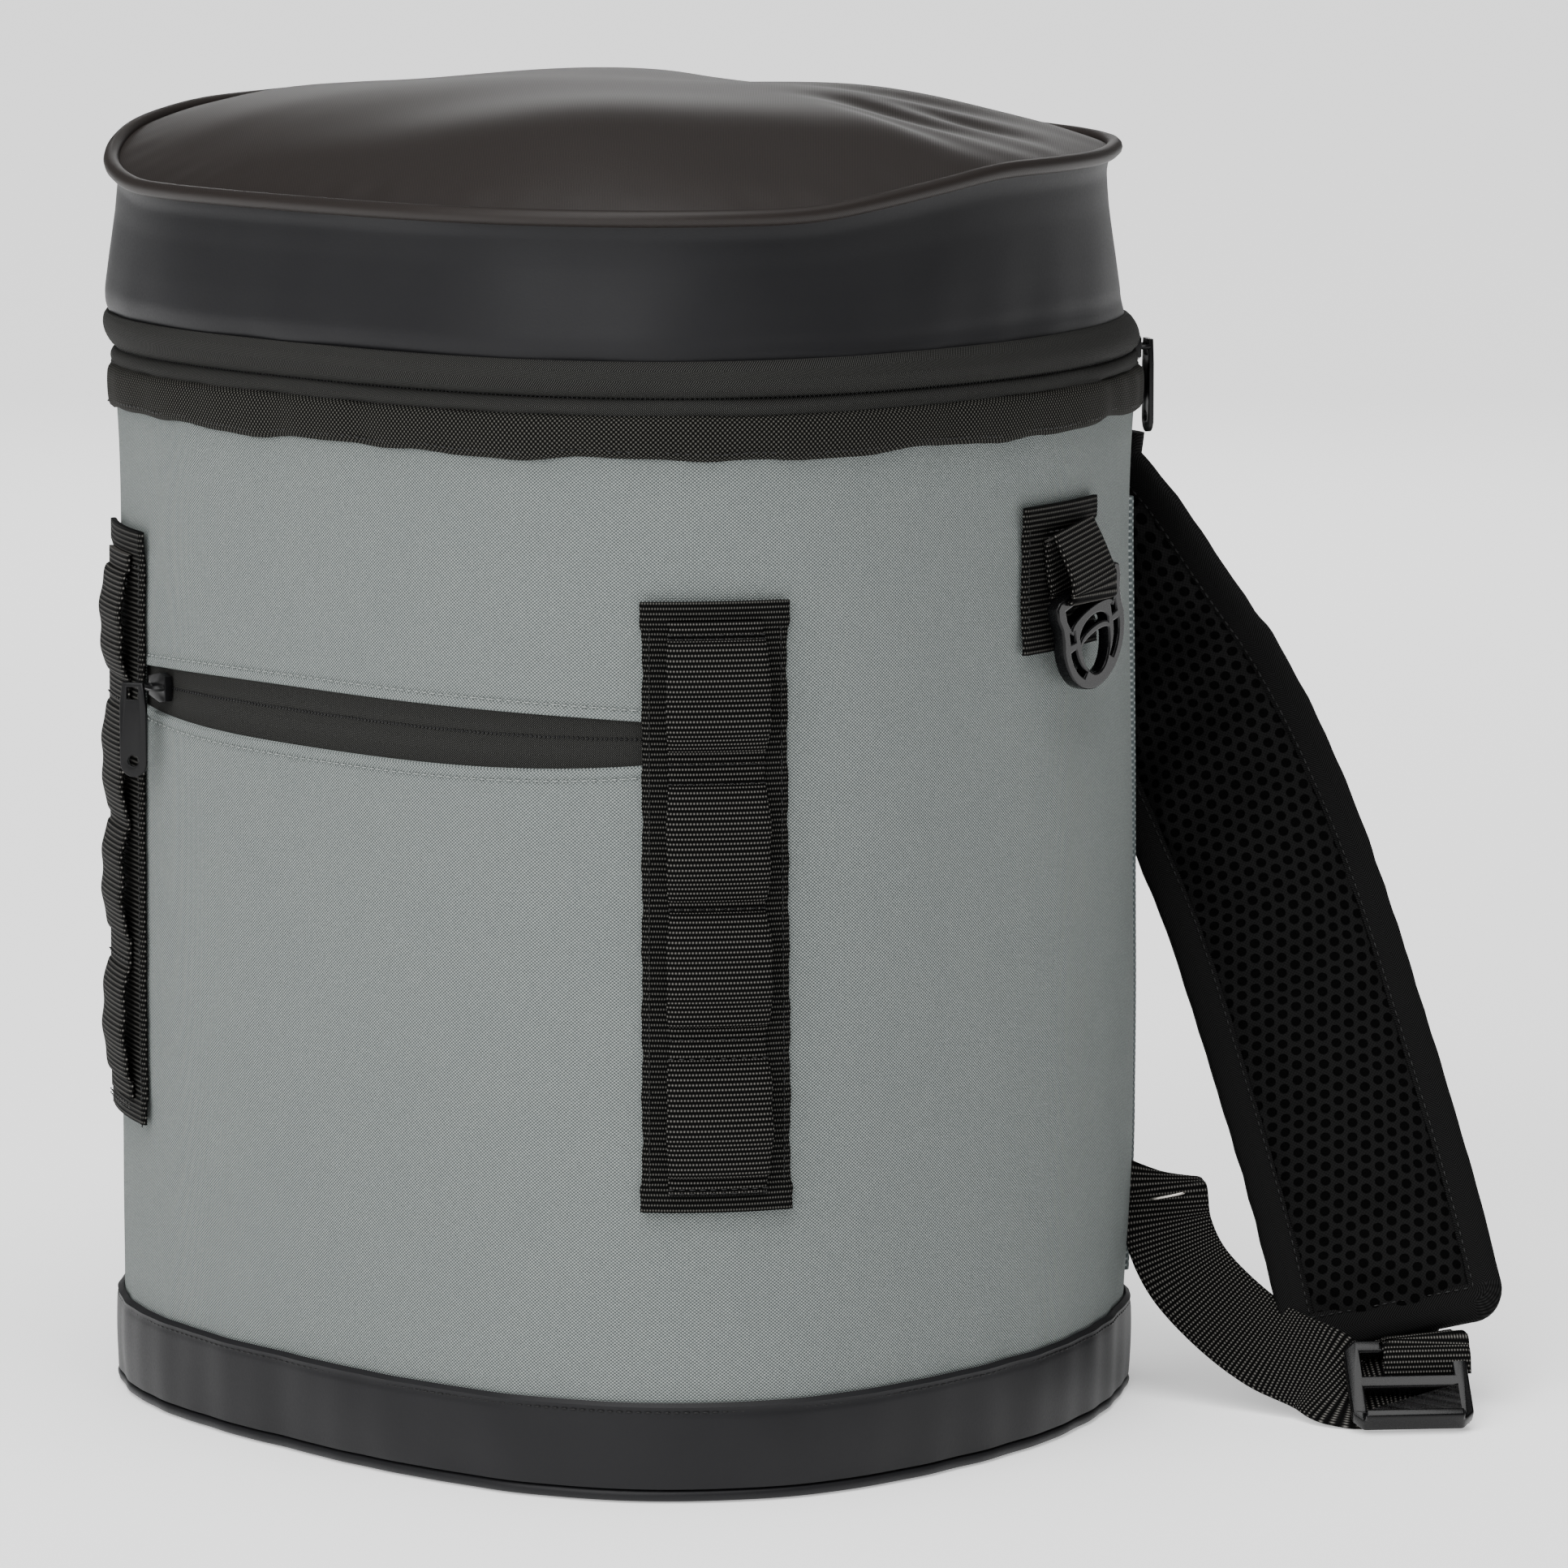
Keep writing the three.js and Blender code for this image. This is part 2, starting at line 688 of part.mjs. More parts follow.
function sideRing(side) {
  const name = side > 0 ? "right" : "left";
  const middle = side * ringPlace;
  const patchRows = heightsBetween(ringPatchTop - ringPatchHeight, ringPatchTop, 1);
  addPiece("ring_patch_" + name, patch(middle, backingWidth, patchRows, () => gap, backingThickness), "webbing");

  const barHeight = ringTabTop - ringTabDrop;
  const axes = placeAxes(middle, barHeight, ringTabStandOff);
  const shape = ringPlate();
  shape.holes.push(...ringHoles());
  const plate = new THREE.ExtrudeGeometry(shape, { depth: ringThickness, bevelEnabled: false, curveSegments: 6 });
  plate.translate(0, -4 + ringBar / 2, -ringThickness / 2);
  plate.applyMatrix4(axes);
  addPiece("d_ring_" + name, plate, "plastic");

  // The tab runs down from its seam on the patch, round the ring's bar and back up behind it
  const wide = new THREE.Vector3(1, 0, 0);
  const clear = ringThickness / 2 + gap + webbingThickness / 2;
  const under = ringBar / 2 + gap + webbingThickness / 2;
  const seat = gap + backingThickness + gap + webbingThickness / 2 - ringTabStandOff;
  const behind = Math.min(-clear, seat + webbingThickness + gap);
  const local = [
    [ringTabDrop, seat + webbingThickness + gap],
    [ringTabDrop * 0.55, clear * 0.4],
    [ringTabDrop * 0.2, clear],
    [0, clear],
    [-under * 0.96, clear * 0.96],
    [-under * 1.05, 0],
    [-under * 0.96, -clear * 0.96],
    [0, behind],
    [ringTabDrop * 0.3, seat],
    [ringTabDrop * 0.9, seat],
  ];
  const stations = local.map(([y, z]) => ({
    at: new THREE.Vector3(0, y, z).applyMatrix4(axes),
    wide: wide.clone().transformDirection(axes),
  }));
  addPiece("ring_tab_" + name, ribbon(stations, webbingWidth - 1, webbingThickness, 24), "webbing");
}

sideRing(1);
sideRing(-1);

// Zipper slider: a plate over the coil with a wire bridge, and a pull that hangs from the bridge
function sliderBody() {
  const half = sliderLength / 2;
  const plate = new THREE.Shape();
  plate.moveTo(-half, -sliderWidth * 0.32);
  plate.lineTo(half * 0.3, -sliderWidth / 2);
  plate.lineTo(half, -sliderWidth * 0.42);
  plate.lineTo(half, sliderWidth * 0.42);
  plate.lineTo(half * 0.3, sliderWidth / 2);
  plate.lineTo(-half, sliderWidth * 0.32);
  plate.closePath();
  const base = new THREE.ExtrudeGeometry(plate, { depth: sliderThickness - 1, bevelEnabled: false });
  const reach = half * 0.72;
  const lift = sliderThickness - 1 + bridgeHeight;
  const route = new THREE.CatmullRomCurve3([
    new THREE.Vector3(-reach, 0, sliderThickness - 1.6),
    new THREE.Vector3(-reach, 0, lift - 1),
    new THREE.Vector3(-reach * 0.6, 0, lift),
    new THREE.Vector3(reach * 0.6, 0, lift),
    new THREE.Vector3(reach, 0, lift - 1),
    new THREE.Vector3(reach, 0, sliderThickness - 1.6),
  ]);
  const section = new THREE.Shape();
  section.absarc(0, 0, bridgeWire / 2, 0, 2 * Math.PI);
  const wire = new THREE.ExtrudeGeometry(section, { steps: 9, bevelEnabled: false, extrudePath: route, curveSegments: 2 });
  return geometryOf(solidOf(base).add(solidOf(wire)));
}

// The pull's eye holds the bridge; its plate hangs down from there
function pullBody() {
  const shape = new THREE.Shape();
  const half = pullWidth / 2;
  const eyeHalf = 1.7;
  const neck = 3;
  shape.moveTo(-neck, 1.6);
  shape.lineTo(neck, 1.6);
  shape.lineTo(half, -5);
  shape.lineTo(half, -pullLength + half);
  shape.absellipse(0, -pullLength + half, half, half, 0, -Math.PI, true);
  shape.lineTo(-half, -5);
  shape.closePath();
  const eye = new THREE.Path();
  eye.moveTo(-eyeHalf, 0.4);
  eye.lineTo(-eyeHalf, -3);
  eye.lineTo(eyeHalf, -3);
  eye.lineTo(eyeHalf, 0.4);
  eye.closePath();
  const hole = new THREE.Path();
  hole.absarc(0, -pullLength + half + 0.6, half * 0.42, 0, 2 * Math.PI);
  shape.holes.push(eye, hole);
  const plate = new THREE.ExtrudeGeometry(shape, { depth: pullThickness, bevelEnabled: false, curveSegments: 5 });
  return plate.translate(0, 0, -pullThickness / 2);
}

function slider(names, share, height, out) {
  const axes = placeAxes(share, height, out);
  addPiece(names.body, sliderBody().applyMatrix4(axes), "zipperMetal");
  const lift = sliderThickness - 1 + bridgeHeight + bridgeWire / 2 + gap + pullThickness / 2;
  const hang = placeAxes(share, height, out + lift);
  addPiece(names.pull, pullBody().applyMatrix4(hang), "zipperMetal");
}

// Middle of the facet that holds a share: a slider is straight, so it sits in the middle of one facet
const facetMiddle = (share) => (Math.floor((share * ringCount) / 2) + 0.5) * (2 / ringCount);

const frontPlace = facetMiddle(lidSliderPlace);
const rearPlace = facetMiddle(frontPlace + Math.max(2 / ringCount, shareOf(lidSliderSpacing)));
slider({ body: "lid_slider_front", pull: "lid_pull_front" }, frontPlace, zipperHeight, tapeOut + gap);
slider({ body: "lid_slider_rear", pull: "lid_pull_rear" }, rearPlace, zipperHeight, tapeOut + gap);
const pocketSliderPlace = pocketPlace - (pocketReach() - shareOf(pocketSliderInset));
slider({ body: "pocket_slider", pull: "pocket_pull" }, pocketSliderPlace, pocketHeight, 0);

// Back yoke and the bound seams under it
addPiece(
  "back_yoke",
  strip(yokeEnd, 2 - yokeEnd, () => box(gap, gap + yokeThickness, yokeTop - yokeHeight, yokeTop)),
  "webbing",
);

for (const [name, side] of [["right", 1], ["left", -1]]) {
  const rows = [];
  const steps = 10;
  for (let k = 0; k <= steps; k++) {
    const height = THREE.MathUtils.lerp(seamBottom, seamTop, k / steps);
    const axes = placeAxes(side * seamPlace, height, gap + seamRadius);
    rows.push(
      Array.from({ length: pipingSides }, (_, s) => {
        const turn = (2 * Math.PI * (s + 0.5)) / pipingSides;
        return new THREE.Vector3(Math.cos(turn) * seamRadius, 0, Math.sin(turn) * seamRadius).applyMatrix4(axes);
      }),
    );
  }
  addPiece("back_seam_" + name, skin(rows), "greyCloth");
}

// Shoulder straps. Each hangs from the yoke, bows out behind the bag and ends near the floor beside it.
// down: share of the drop; bow: share of the bow behind the bag; turn: share of the final twist
const strapForm = [
  { down: 0, bow: 0, turn: 0 },
  { down: 0.06, bow: 0, turn: 0 },
  { down: 0.16, bow: 0.28, turn: 0.2 },
  { down: 0.29, bow: 0.72, turn: 0.55 },
  { down: 0.41, bow: 0.94, turn: 0.8 },
  { down: 0.54, bow: 1, turn: 1 },
  { down: 0.7, bow: 0.76, turn: 1 },
  { down: 0.86, bow: 0.38, turn: 1 },
  { down: 1, bow: 0, turn: 1 },
];

// Where each strap's pad ends, beside the body and behind its widest line, and how it bows
const strapSides = {
  right: { side: 1, endAway: 30.3, endPlace: backDepth + 14, bow: 25, bowOut: -5, twist: 46 },
  left: { side: -1, endAway: 65.3, endPlace: 50.5, bow: 62, bowOut: 26, twist: 50 },
};

const padSeat = yokeThickness + 2 * gap + padThickness / 2 - 0.4;

function padStations(strap) {
  return strapForm.map((row) => {
    const endOut = bodyHalfWidth + strap.endAway;
    const endBehind = strap.endPlace - backDepth;
    const out = THREE.MathUtils.lerp(padAnchorSpread, endOut, row.down) + strap.bowOut * row.bow;
    const behind = THREE.MathUtils.lerp(padSeat, endBehind, row.down) + strap.bow * row.bow;
    const seated = row.down <= 0.06;
    const twist = THREE.MathUtils.degToRad(strap.twist * row.turn);
    return {
      at: new THREE.Vector3(
        strap.side * (seated ? padAnchorSpread : out),
        backDepth + (seated ? padSeat : behind),
        THREE.MathUtils.lerp(padAnchorHeight, padEndHeight, row.down),
      ),
      wide: new THREE.Vector3(strap.side * Math.cos(twist), Math.sin(twist), 0),
    };
  });
}

// Solid that follows a strap through shares of its length, with one section of across and depth
function alongStrap(stations, shares, section) {
  const route = new THREE.CatmullRomCurve3(stations.map((s) => s.at), false, "centripetal");
  return skin(
    shares.map((share) => {
      const { at, wide, normal } = ribbonFrame(route, stations, share);
      return section.map(([across, deep]) =>
        at.clone().addScaledVector(wide, across).addScaledVector(normal, deep),
      );
    }),
  );
}

// Pad and its bound edges. Gives the frame at the pad's lower end.
function shoulderStrap(name) {
  const stations = padStations(strapSides[name]);
  const last = stations[stations.length - 1].at;
  const before = stations[stations.length - 2].at;
  const bindingShare = padBindingWidth / last.distanceTo(before) / (stations.length - 1);
  const gapShare = (2 * gap * bindingShare) / padBindingWidth;
  const inner = padWidth / 2 - padBindingWidth;
  const thin = padBindingThickness / 2;
  const thick = padThickness / 2;
  const padSection = [
    [-inner + 2 * gap, -thin], [-inner * 0.8, -thick], [inner * 0.8, -thick], [inner - 2 * gap, -thin],
    [inner - 2 * gap, thin], [inner * 0.8, thick], [-inner * 0.8, thick], [-inner + 2 * gap, thin],
  ];
  const padShares = evenly(0, 1 - bindingShare - gapShare, 17);
  addPiece("shoulder_pad_" + name, alongStrap(stations, padShares, padSection), "meshCloth");
  const outer = padWidth / 2;
  const edgeSection = (sign) => [
    [sign * inner, -thin],
    [sign * (outer - 1), -thin],
    [sign * outer, 0],
    [sign * (outer - 1), thin],
    [sign * inner, thin],
  ];
  const across = outer - padBindingWidth / 2;
  const barThin = 0.8 * thin;
  const barSection = [[-across, -barThin], [across, -barThin], [across, barThin], [-across, barThin]];
  const barShares = [1 - bindingShare, 1 - 0.1 * bindingShare];
  const edge = (sign) => alongStrap(stations, [...padShares, 1 - bindingShare, 1], edgeSection(sign));
  const bar = alongStrap(stations, barShares, barSection);
  const binding = solidOf(edge(1)).add(solidOf(edge(-1))).add(solidOf(bar));
  addPiece("shoulder_binding_" + name, geometryOf(binding), "webbing");
  const route = new THREE.CatmullRomCurve3(stations.map((s) => s.at), false, "centripetal");
  return ribbonFrame(route, stations, 1);
}

// Strap adjuster: a frame with two slots and a raised lip
function adjusterBody() {
  const w = adjusterWidth / 2;
  const l = adjusterLength / 2;
  const frame = new THREE.Shape();
  frame.moveTo(-w, -l + 3);
  frame.lineTo(-w + 3, -l);
  frame.lineTo(w - 3, -l);
  frame.lineTo(w, -l + 3);
  frame.lineTo(w, l - 3);
  frame.lineTo(w - 3, l);
  frame.lineTo(-w + 3, l);
  frame.lineTo(-w, l - 3);
  frame.closePath();
  for (const sign of [1, -1]) {
    const near = sign * (adjusterBar / 2);
    const far = near + sign * (l - 1.5 * adjusterBar);
    const slot = new THREE.Path();
    slot.moveTo(-w + adjusterBar, near);
    slot.lineTo(w - adjusterBar, near);
    slot.lineTo(w - adjusterBar, far);
    slot.lineTo(-w + adjusterBar, far);
    slot.closePath();
    frame.holes.push(slot);
  }
  const body = new THREE.ExtrudeGeometry(frame, { depth: adjusterThickness, bevelEnabled: false });
  body.translate(0, 0, -adjusterThickness / 2);
  const lip = new THREE.BoxGeometry(adjusterWidth - 6, adjusterBar * 0.7, adjusterThickness);
  lip.translate(0, adjusterBar * 0.35 - l, adjusterThickness * 0.6);
  return geometryOf(solidOf(body).add(solidOf(lip)));
}

// How the adjuster lies off the pad's end: sideways, forward and down, and how steeply it leans
const adjusterSide = 4.6;
const adjusterForward = 22;
const adjusterDrop = 10;
const adjusterLean = THREE.MathUtils.degToRad(40);

// Route of the lower webbing from the body's corner to the adjuster: shares of the straight way between them,
// with a sag and a bow forward as shares of the webbing's width, and its twist
const webbingForm = [
  { way: 0, sag: 0, bow: 0, turn: 0 },
  { way: 0.18, sag: -0.02, bow: 0.06, turn: 0.1 },
  { way: 0.42, sag: 0.12, bow: 0.26, turn: 0.3 },
  { way: 0.66, sag: 0.18, bow: 0.4, turn: 0.6 },
  { way: 0.86, sag: 0.1, bow: 0.32, turn: 0.85 },
];

function strapEnd(name, padFoot) {
  const side = strapSides[name].side;
  const across = padFoot.wide.clone().setZ(0).normalize();
  const down = new THREE.Vector3(0, 0, -1);
  const forward = new THREE.Vector3(side * across.y, -side * across.x, 0);
  const along = forward.clone().multiplyScalar(Math.cos(adjusterLean));
  along.addScaledVector(down, Math.sin(adjusterLean));
  const face = new THREE.Vector3().crossVectors(along, across).multiplyScalar(side);
  const middle = padFoot.at
    .clone()
    .addScaledVector(across, adjusterSide)
    .addScaledVector(forward, adjusterForward)
    .addScaledVector(down, adjusterDrop);
  const axes = new THREE.Matrix4().makeBasis(across.clone().multiplyScalar(side), along.clone().negate(), face);
  axes.setPosition(middle);
  addPiece("ladder_lock_" + name, adjusterBody().applyMatrix4(axes), "plastic");

  const over = adjusterThickness / 2 + gap + webbingThickness / 2;
  const barPlace = adjusterLength / 2 - adjusterBar / 2;
  const slotPlace = barPlace / 2;
  const off = (way, rise) => middle.clone().addScaledVector(along, way).addScaledVector(face, rise);
  const narrow = webbingWidth - 1;
  const padTip = padFoot.at.clone().addScaledVector(padFoot.run, gap + webbingThickness);
  const tab = [
    { at: padTip, wide: padFoot.wide },
    { at: padTip.clone().lerp(off(-barPlace - 4, over + 3 * gap), 0.6), wide: padFoot.wide },
    { at: off(-barPlace - 3, over + 3 * gap), wide: across },
    { at: off(-barPlace, over + 2 * gap), wide: across },
    { at: off(-barPlace + adjusterBar * 0.7, over + gap), wide: across },
    { at: off(-slotPlace + 1, gap), wide: across },
  ];
  addPiece("shoulder_tab_" + name, ribbon(tab, narrow, webbingThickness, 14), "webbing");

  const standOff = 2 * seamRadius + 2 * gap + webbingThickness / 2;
  const anchor = onBag(side * seamPlace, webbingAnchorHeight, standOff);
  const behind = (way) => off(-3, -over).addScaledVector(across, way);
  const arrival = behind(-adjusterWidth / 2 - 4).addScaledVector(face, -1);
  const upright = new THREE.Vector3(0, 0, 1);
  const flat = along.clone().negate();
  const stations = webbingForm.map((row) => ({
    at: anchor
      .clone()
      .lerp(arrival, row.way)
      .addScaledVector(down, row.sag * webbingWidth)
      .addScaledVector(forward, row.bow * webbingWidth),
    wide: upright.clone().lerp(flat, row.turn).normalize(),
  }));
  stations.push({ at: arrival, wide: flat });
  stations.push({ at: behind(-adjusterWidth * 0.3), wide: flat });
  stations.push({ at: behind(adjusterWidth * 0.3), wide: flat });
  for (const station of stations) {
    station.at = clearOfBag(station.at, standOff);
    const reachDown = (Math.abs(station.wide.z) * webbingWidth) / 2 + 1.8 * webbingThickness;
    station.at.z = Math.max(station.at.z, reachDown);
  }
  addPiece("lower_webbing_" + name, ribbon(stations, narrow, webbingThickness, 22), "webbing");

  // Wire staple on the webbing's outer face, near the corner
  const route = new THREE.CatmullRomCurve3(stations.map((s) => s.at), false, "centripetal");
  const spot = ribbonFrame(route, stations, staplePlace);
  const turned = spot.normal.dot(forward) < 0 ? -1 : 1;
  const crown = new THREE.BoxGeometry(stapleLength, stapleWire, stapleWire);
  const out = spot.normal.clone().multiplyScalar(turned);
  const lie = new THREE.Matrix4().makeBasis(spot.run, new THREE.Vector3().crossVectors(out, spot.run), out);
  lie.setPosition(spot.at.clone().addScaledVector(out, webbingThickness / 2 + 2 * gap + stapleWire / 2));
  addPiece("webbing_staple_" + name, crown.applyMatrix4(lie), "wire");
}

for (const name of ["right", "left"]) strapEnd(name, shoulderStrap(name));

export default group;
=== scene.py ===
# Cooler backpack: its cloth, webbing, zippers and fittings in fine detail, over the plain solids.
# Shapes are worked out in millimetres and turned to metres when a mesh is made.
import math

import bmesh
import bpy
import numpy as np
from mathutils import Matrix, Vector


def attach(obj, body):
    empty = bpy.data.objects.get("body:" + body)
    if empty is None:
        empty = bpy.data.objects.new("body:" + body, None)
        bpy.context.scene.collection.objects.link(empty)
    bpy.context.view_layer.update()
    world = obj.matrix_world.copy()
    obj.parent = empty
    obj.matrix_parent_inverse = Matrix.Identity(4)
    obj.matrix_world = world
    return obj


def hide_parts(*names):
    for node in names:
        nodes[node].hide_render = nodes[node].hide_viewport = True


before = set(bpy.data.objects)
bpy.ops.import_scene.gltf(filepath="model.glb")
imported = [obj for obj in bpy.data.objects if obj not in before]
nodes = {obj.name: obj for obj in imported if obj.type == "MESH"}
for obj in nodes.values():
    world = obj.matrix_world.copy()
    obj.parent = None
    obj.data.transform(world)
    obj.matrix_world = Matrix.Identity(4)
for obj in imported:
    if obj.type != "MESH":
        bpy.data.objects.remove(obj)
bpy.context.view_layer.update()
mm = 0.001

# The bag's outline and heights, as the solids have them
bag = {
    "halfWidth": 134.7,
    "frontDepth": 110.5,
    "frontFullness": 2.62,
    "backDepth": 120.5,
    "sideTaperDepth": 156.0,
    "backCornerReach": 18.0,
    "height": 283.0,
    "zipHeight": 287.5,
    "seamHeight": 295.3,
    "lean": 2.2,
    "stations": 400,
}


def smooth(value, low, high):
    t = np.clip((value - low) / (high - low), 0, 1)
    return t * t * (3 - 2 * t)


def makeOutline():
    turn = np.linspace(0, math.pi / 2, 500)
    x = bag["halfWidth"] * np.sin(turn) ** (2 / bag["frontFullness"])
    y = -bag["frontDepth"] * np.cos(turn) ** (2 / bag["frontFullness"])
    cornerTurn = math.asin((bag["backDepth"] - bag["backCornerReach"]) / bag["sideTaperDepth"])
    turn = np.linspace(0, cornerTurn, 300)[1:]
    x = np.append(x, bag["halfWidth"] * np.cos(turn))
    y = np.append(y, bag["sideTaperDepth"] * np.sin(turn))
    slope = bag["halfWidth"] * math.tan(cornerTurn) / bag["sideTaperDepth"]
    cornerX = x[-1] - slope * bag["backCornerReach"]
    reach = math.hypot(x[-1] - cornerX, y[-1] - bag["backDepth"])
    t = np.linspace(0, 1, 80)[1:]
    bendX = (1 - t) ** 2 * x[-1] + 2 * t * (1 - t) * cornerX + t * t * (cornerX - reach)
    bendY = (1 - t) ** 2 * y[-1] + (1 - (1 - t) ** 2) * bag["backDepth"]
    x = np.concatenate([x, bendX, [0]])
    y = np.concatenate([y, bendY, [bag["backDepth"]]])
    length = np.concatenate([[0], np.cumsum(np.hypot(np.diff(x), np.diff(y)))])
    half = length[-1]
    count = 3360
    places = (np.arange(count) / count * 2 - 1) * half
    px = np.sign(places) * np.interp(np.abs(places), length, x)
    py = np.interp(np.abs(places), length, y)
    kernel = np.exp(-np.linspace(-2.4, 2.4, 25) ** 2)
    kernel /= kernel.sum()
    px, py = (np.convolve(np.concatenate([p[-12:], p, p[:12]]), kernel, "valid") for p in (px, py))
    runX, runY = np.roll(px, -14) - np.roll(px, 14), np.roll(py, -14) - np.roll(py, 14)
    size = np.hypot(runX, runY)
    columns = [px, py, runY / size, -runX / size]
    return half, [np.append(column, column[0]) for column in columns]


halfLength, outlineTable = makeOutline()


def outlineAt(share):
    count = len(outlineTable[0]) - 1
    place = np.mod(np.asarray(share, float) + 1, 2) / 2 * count
    return [np.interp(place, np.arange(count + 1), column) for column in outlineTable]


def outlinePlaces(share, height):
    x, y, _, _ = outlineAt(share)
    return np.stack(np.broadcast_arrays(x, y, height), -1)


def waves(points, size, seed, count=8):
    rng = np.random.default_rng(seed)
    total = 0
    for _ in range(count):
        direction = rng.normal(size=3)
        direction *= 2 * math.pi / size * rng.uniform(0.6, 1.4) / np.linalg.norm(direction)
        total = total + np.sin(points @ direction + rng.uniform(0, 2 * math.pi))
    return total / math.sqrt(count)


# How the cloth stands out up the body, and how soft it lies
cloth = {
    "heights": [0, 45, 107, 175, 249, 283],
    "outs": [0, 0.2, 1, 0.1, -1, -0.4],
    "softness": 0.65,
    "softSize": 95,
    "puckers": 0.34,
    "puckerSize": 17,
}
fineHeights = np.linspace(0, 283, 200)
formKernel = np.hanning(31) / np.hanning(31).sum()
fineOuts = np.convolve(np.pad(np.interp(fineHeights, cloth["heights"], cloth["outs"]), 15, "edge"), formKernel, "valid")


def footOut(share, height):
    # The filled bag sags out at the front corner of its foot and draws in at the right
    form = 2.2 * np.exp(-((share - 0.3) / 0.17) ** 2) - 2.2 * np.exp(-((share - 0.74) / 0.12) ** 2)
    return form * (1 - smooth(height, 10, 75))


def clothOut(raw):
    height = raw[..., 2]
    out = np.interp(height, fineHeights, fineOuts)
    below = np.clip(np.minimum(height - 26, 272 - height) / 40, 0, 1)
    out = out + cloth["softness"] * below * waves(raw * [1, 1, 0.5], cloth["softSize"], 4)
    upright = waves(raw * [1, 1, 0.12], cloth["puckerSize"], 9)
    nearSeam = np.exp(-np.clip(272 - height, 0, None) / 9) + 0.8 * np.exp(-np.clip(height - 26, 0, None) / 8)
    return out + cloth["puckers"] * upright * nearSeam * (height < 284)


def bagPoint(share, height, out=0.0):
    share, height, out = np.broadcast_arrays(np.asarray(share, float), np.asarray(height, float), np.asarray(out, float))
    x, y, nx, ny = outlineAt(share)
    raw = np.stack([x, y, height], -1)
    out = out + clothOut(raw) + footOut(share, height)
    lean = bag["lean"] * smooth(height, bag["zipHeight"], bag["seamHeight"] + 7.2)
    return np.stack([x + nx * out - lean, y + ny * out - lean, height], -1)


def roundLoop(radius, sides, flat=1.0):
    turn = np.arange(sides) / sides * 2 * math.pi
    return np.stack([radius * np.cos(turn), flat * radius * np.sin(turn)], -1)


def webLoop(width, thickness, steps=9, selvedge=0.12, crown=0.0):
    # Closed section of a webbing: across, out
    across = np.sin(np.linspace(-1, 1, steps) * math.pi / 2) * width / 2
    edge = np.abs(across) / (width / 2)
    rounded = thickness / 2 * np.sqrt(np.clip(1 - edge ** 14, 0, 1))
    top = rounded + selvedge * np.exp(-((edge - 0.93) / 0.04) ** 2) + crown * (1 - edge ** 2)
    under = -rounded
    ahead = np.stack([across, top], -1)
    back = np.stack([across[::-1], under[::-1]], -1)[1:-1]
    return np.concatenate([ahead, back])


def loopLength(loop):
    closed = np.concatenate([loop, loop[:1]])
    return np.concatenate([[0], np.cumsum(np.linalg.norm(np.diff(closed, axis=0), axis=1))])


def makeGrid(name, points, uv, ring=False, tube=False, caps=False, sideCaps=False):
    # Mesh over rows of points. ring joins the last row to the first, tube the last column to the first.
    rows, cols = points.shape[:2]
    r, c = np.meshgrid(np.arange(rows if ring else rows - 1), np.arange(cols if tube else cols - 1), indexing="ij")
    r, c = r.ravel(), c.ravel()
    corners = [(r, c), (r, c + 1), (r + 1, c + 1), (r + 1, c)]
    faces = np.stack([(a % rows) * cols + b % cols for a, b in corners], -1).tolist()
    places = np.stack([uv[a, b] for a, b in corners], 1).reshape(-1, 2)
    for index in (0, rows - 1) if caps else ():
        faces.append([index * cols + k for k in range(cols)])
        places = np.concatenate([places, uv[index, :cols]])
    for index in (0, cols - 1) if sideCaps else ():
        faces.append([k * cols + index for k in range(rows)])
        places = np.concatenate([places, uv[:rows, index]])
    mesh = bpy.data.meshes.new(name)
    mesh.from_pydata((points.reshape(-1, 3) * mm).tolist(), [], faces)
    layer = mesh.uv_layers.new(name="clothUv")
    layer.data.foreach_set("uv", (places * mm).astype(np.float32).ravel())
    turned = bmesh.new()
    turned.from_mesh(mesh)
    bmesh.ops.recalc_face_normals(turned, faces=turned.faces)
    turned.to_mesh(mesh)
    turned.free()
    mesh.shade_smooth()
    mesh.set_sharp_from_angle(angle=math.radians(55))
    return mesh


def gridUv(alongLengths, acrossLengths):
    return np.stack(np.meshgrid(alongLengths, acrossLengths, indexing="ij"), -1)


def finishPiece(obj, material, slotName, *cadNodes):
    obj.data.materials.clear()
    obj.data.materials.append(material)
    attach(obj, "root")
    if cadNodes:
        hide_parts(*cadNodes)
    return obj


def newObject(name, mesh):
    obj = bpy.data.objects.new(name, mesh)
    bpy.context.scene.collection.objects.link(obj)
    return obj


def hoop(name, section, material, slotName, *cadNodes, stations=None):
    # Band right round the bag. section(shares, raw) gives outs and heights, one row a station
    stations = stations or bag["stations"]
    shares = np.arange(stations) / stations * 2 - 1
    outs, heights = section(shares[:, None])
    points = bagPoint(np.broadcast_to(shares[:, None], outs.shape), heights, outs)
    loop = loopLength(np.stack([outs[0], heights[0]], -1))
    uv = gridUv(np.arange(stations + 1) / stations * 2 * halfLength, loop)
    mesh = makeGrid(name, points, uv, ring=True, tube=True)
    return finishPiece(newObject(name, mesh), material, slotName, *cadNodes)


def band(name, start, end, section, material, slotName, *cadNodes, step=2.0):
    # Band along part of the outline
    count = max(4, int(abs(end - start) * halfLength / step))
    shares = np.linspace(start, end, count + 1)
    outs, heights = section(shares[:, None])
    points = bagPoint(np.broadcast_to(shares[:, None], outs.shape), heights, outs)
    loop = loopLength(np.stack([outs[count // 2], heights[count // 2]], -1))
    uv = gridUv((shares - start) * halfLength, loop)
    mesh = makeGrid(name, points, uv, tube=True, caps=True)
    return finishPiece(newObject(name, mesh), material, slotName, *cadNodes)


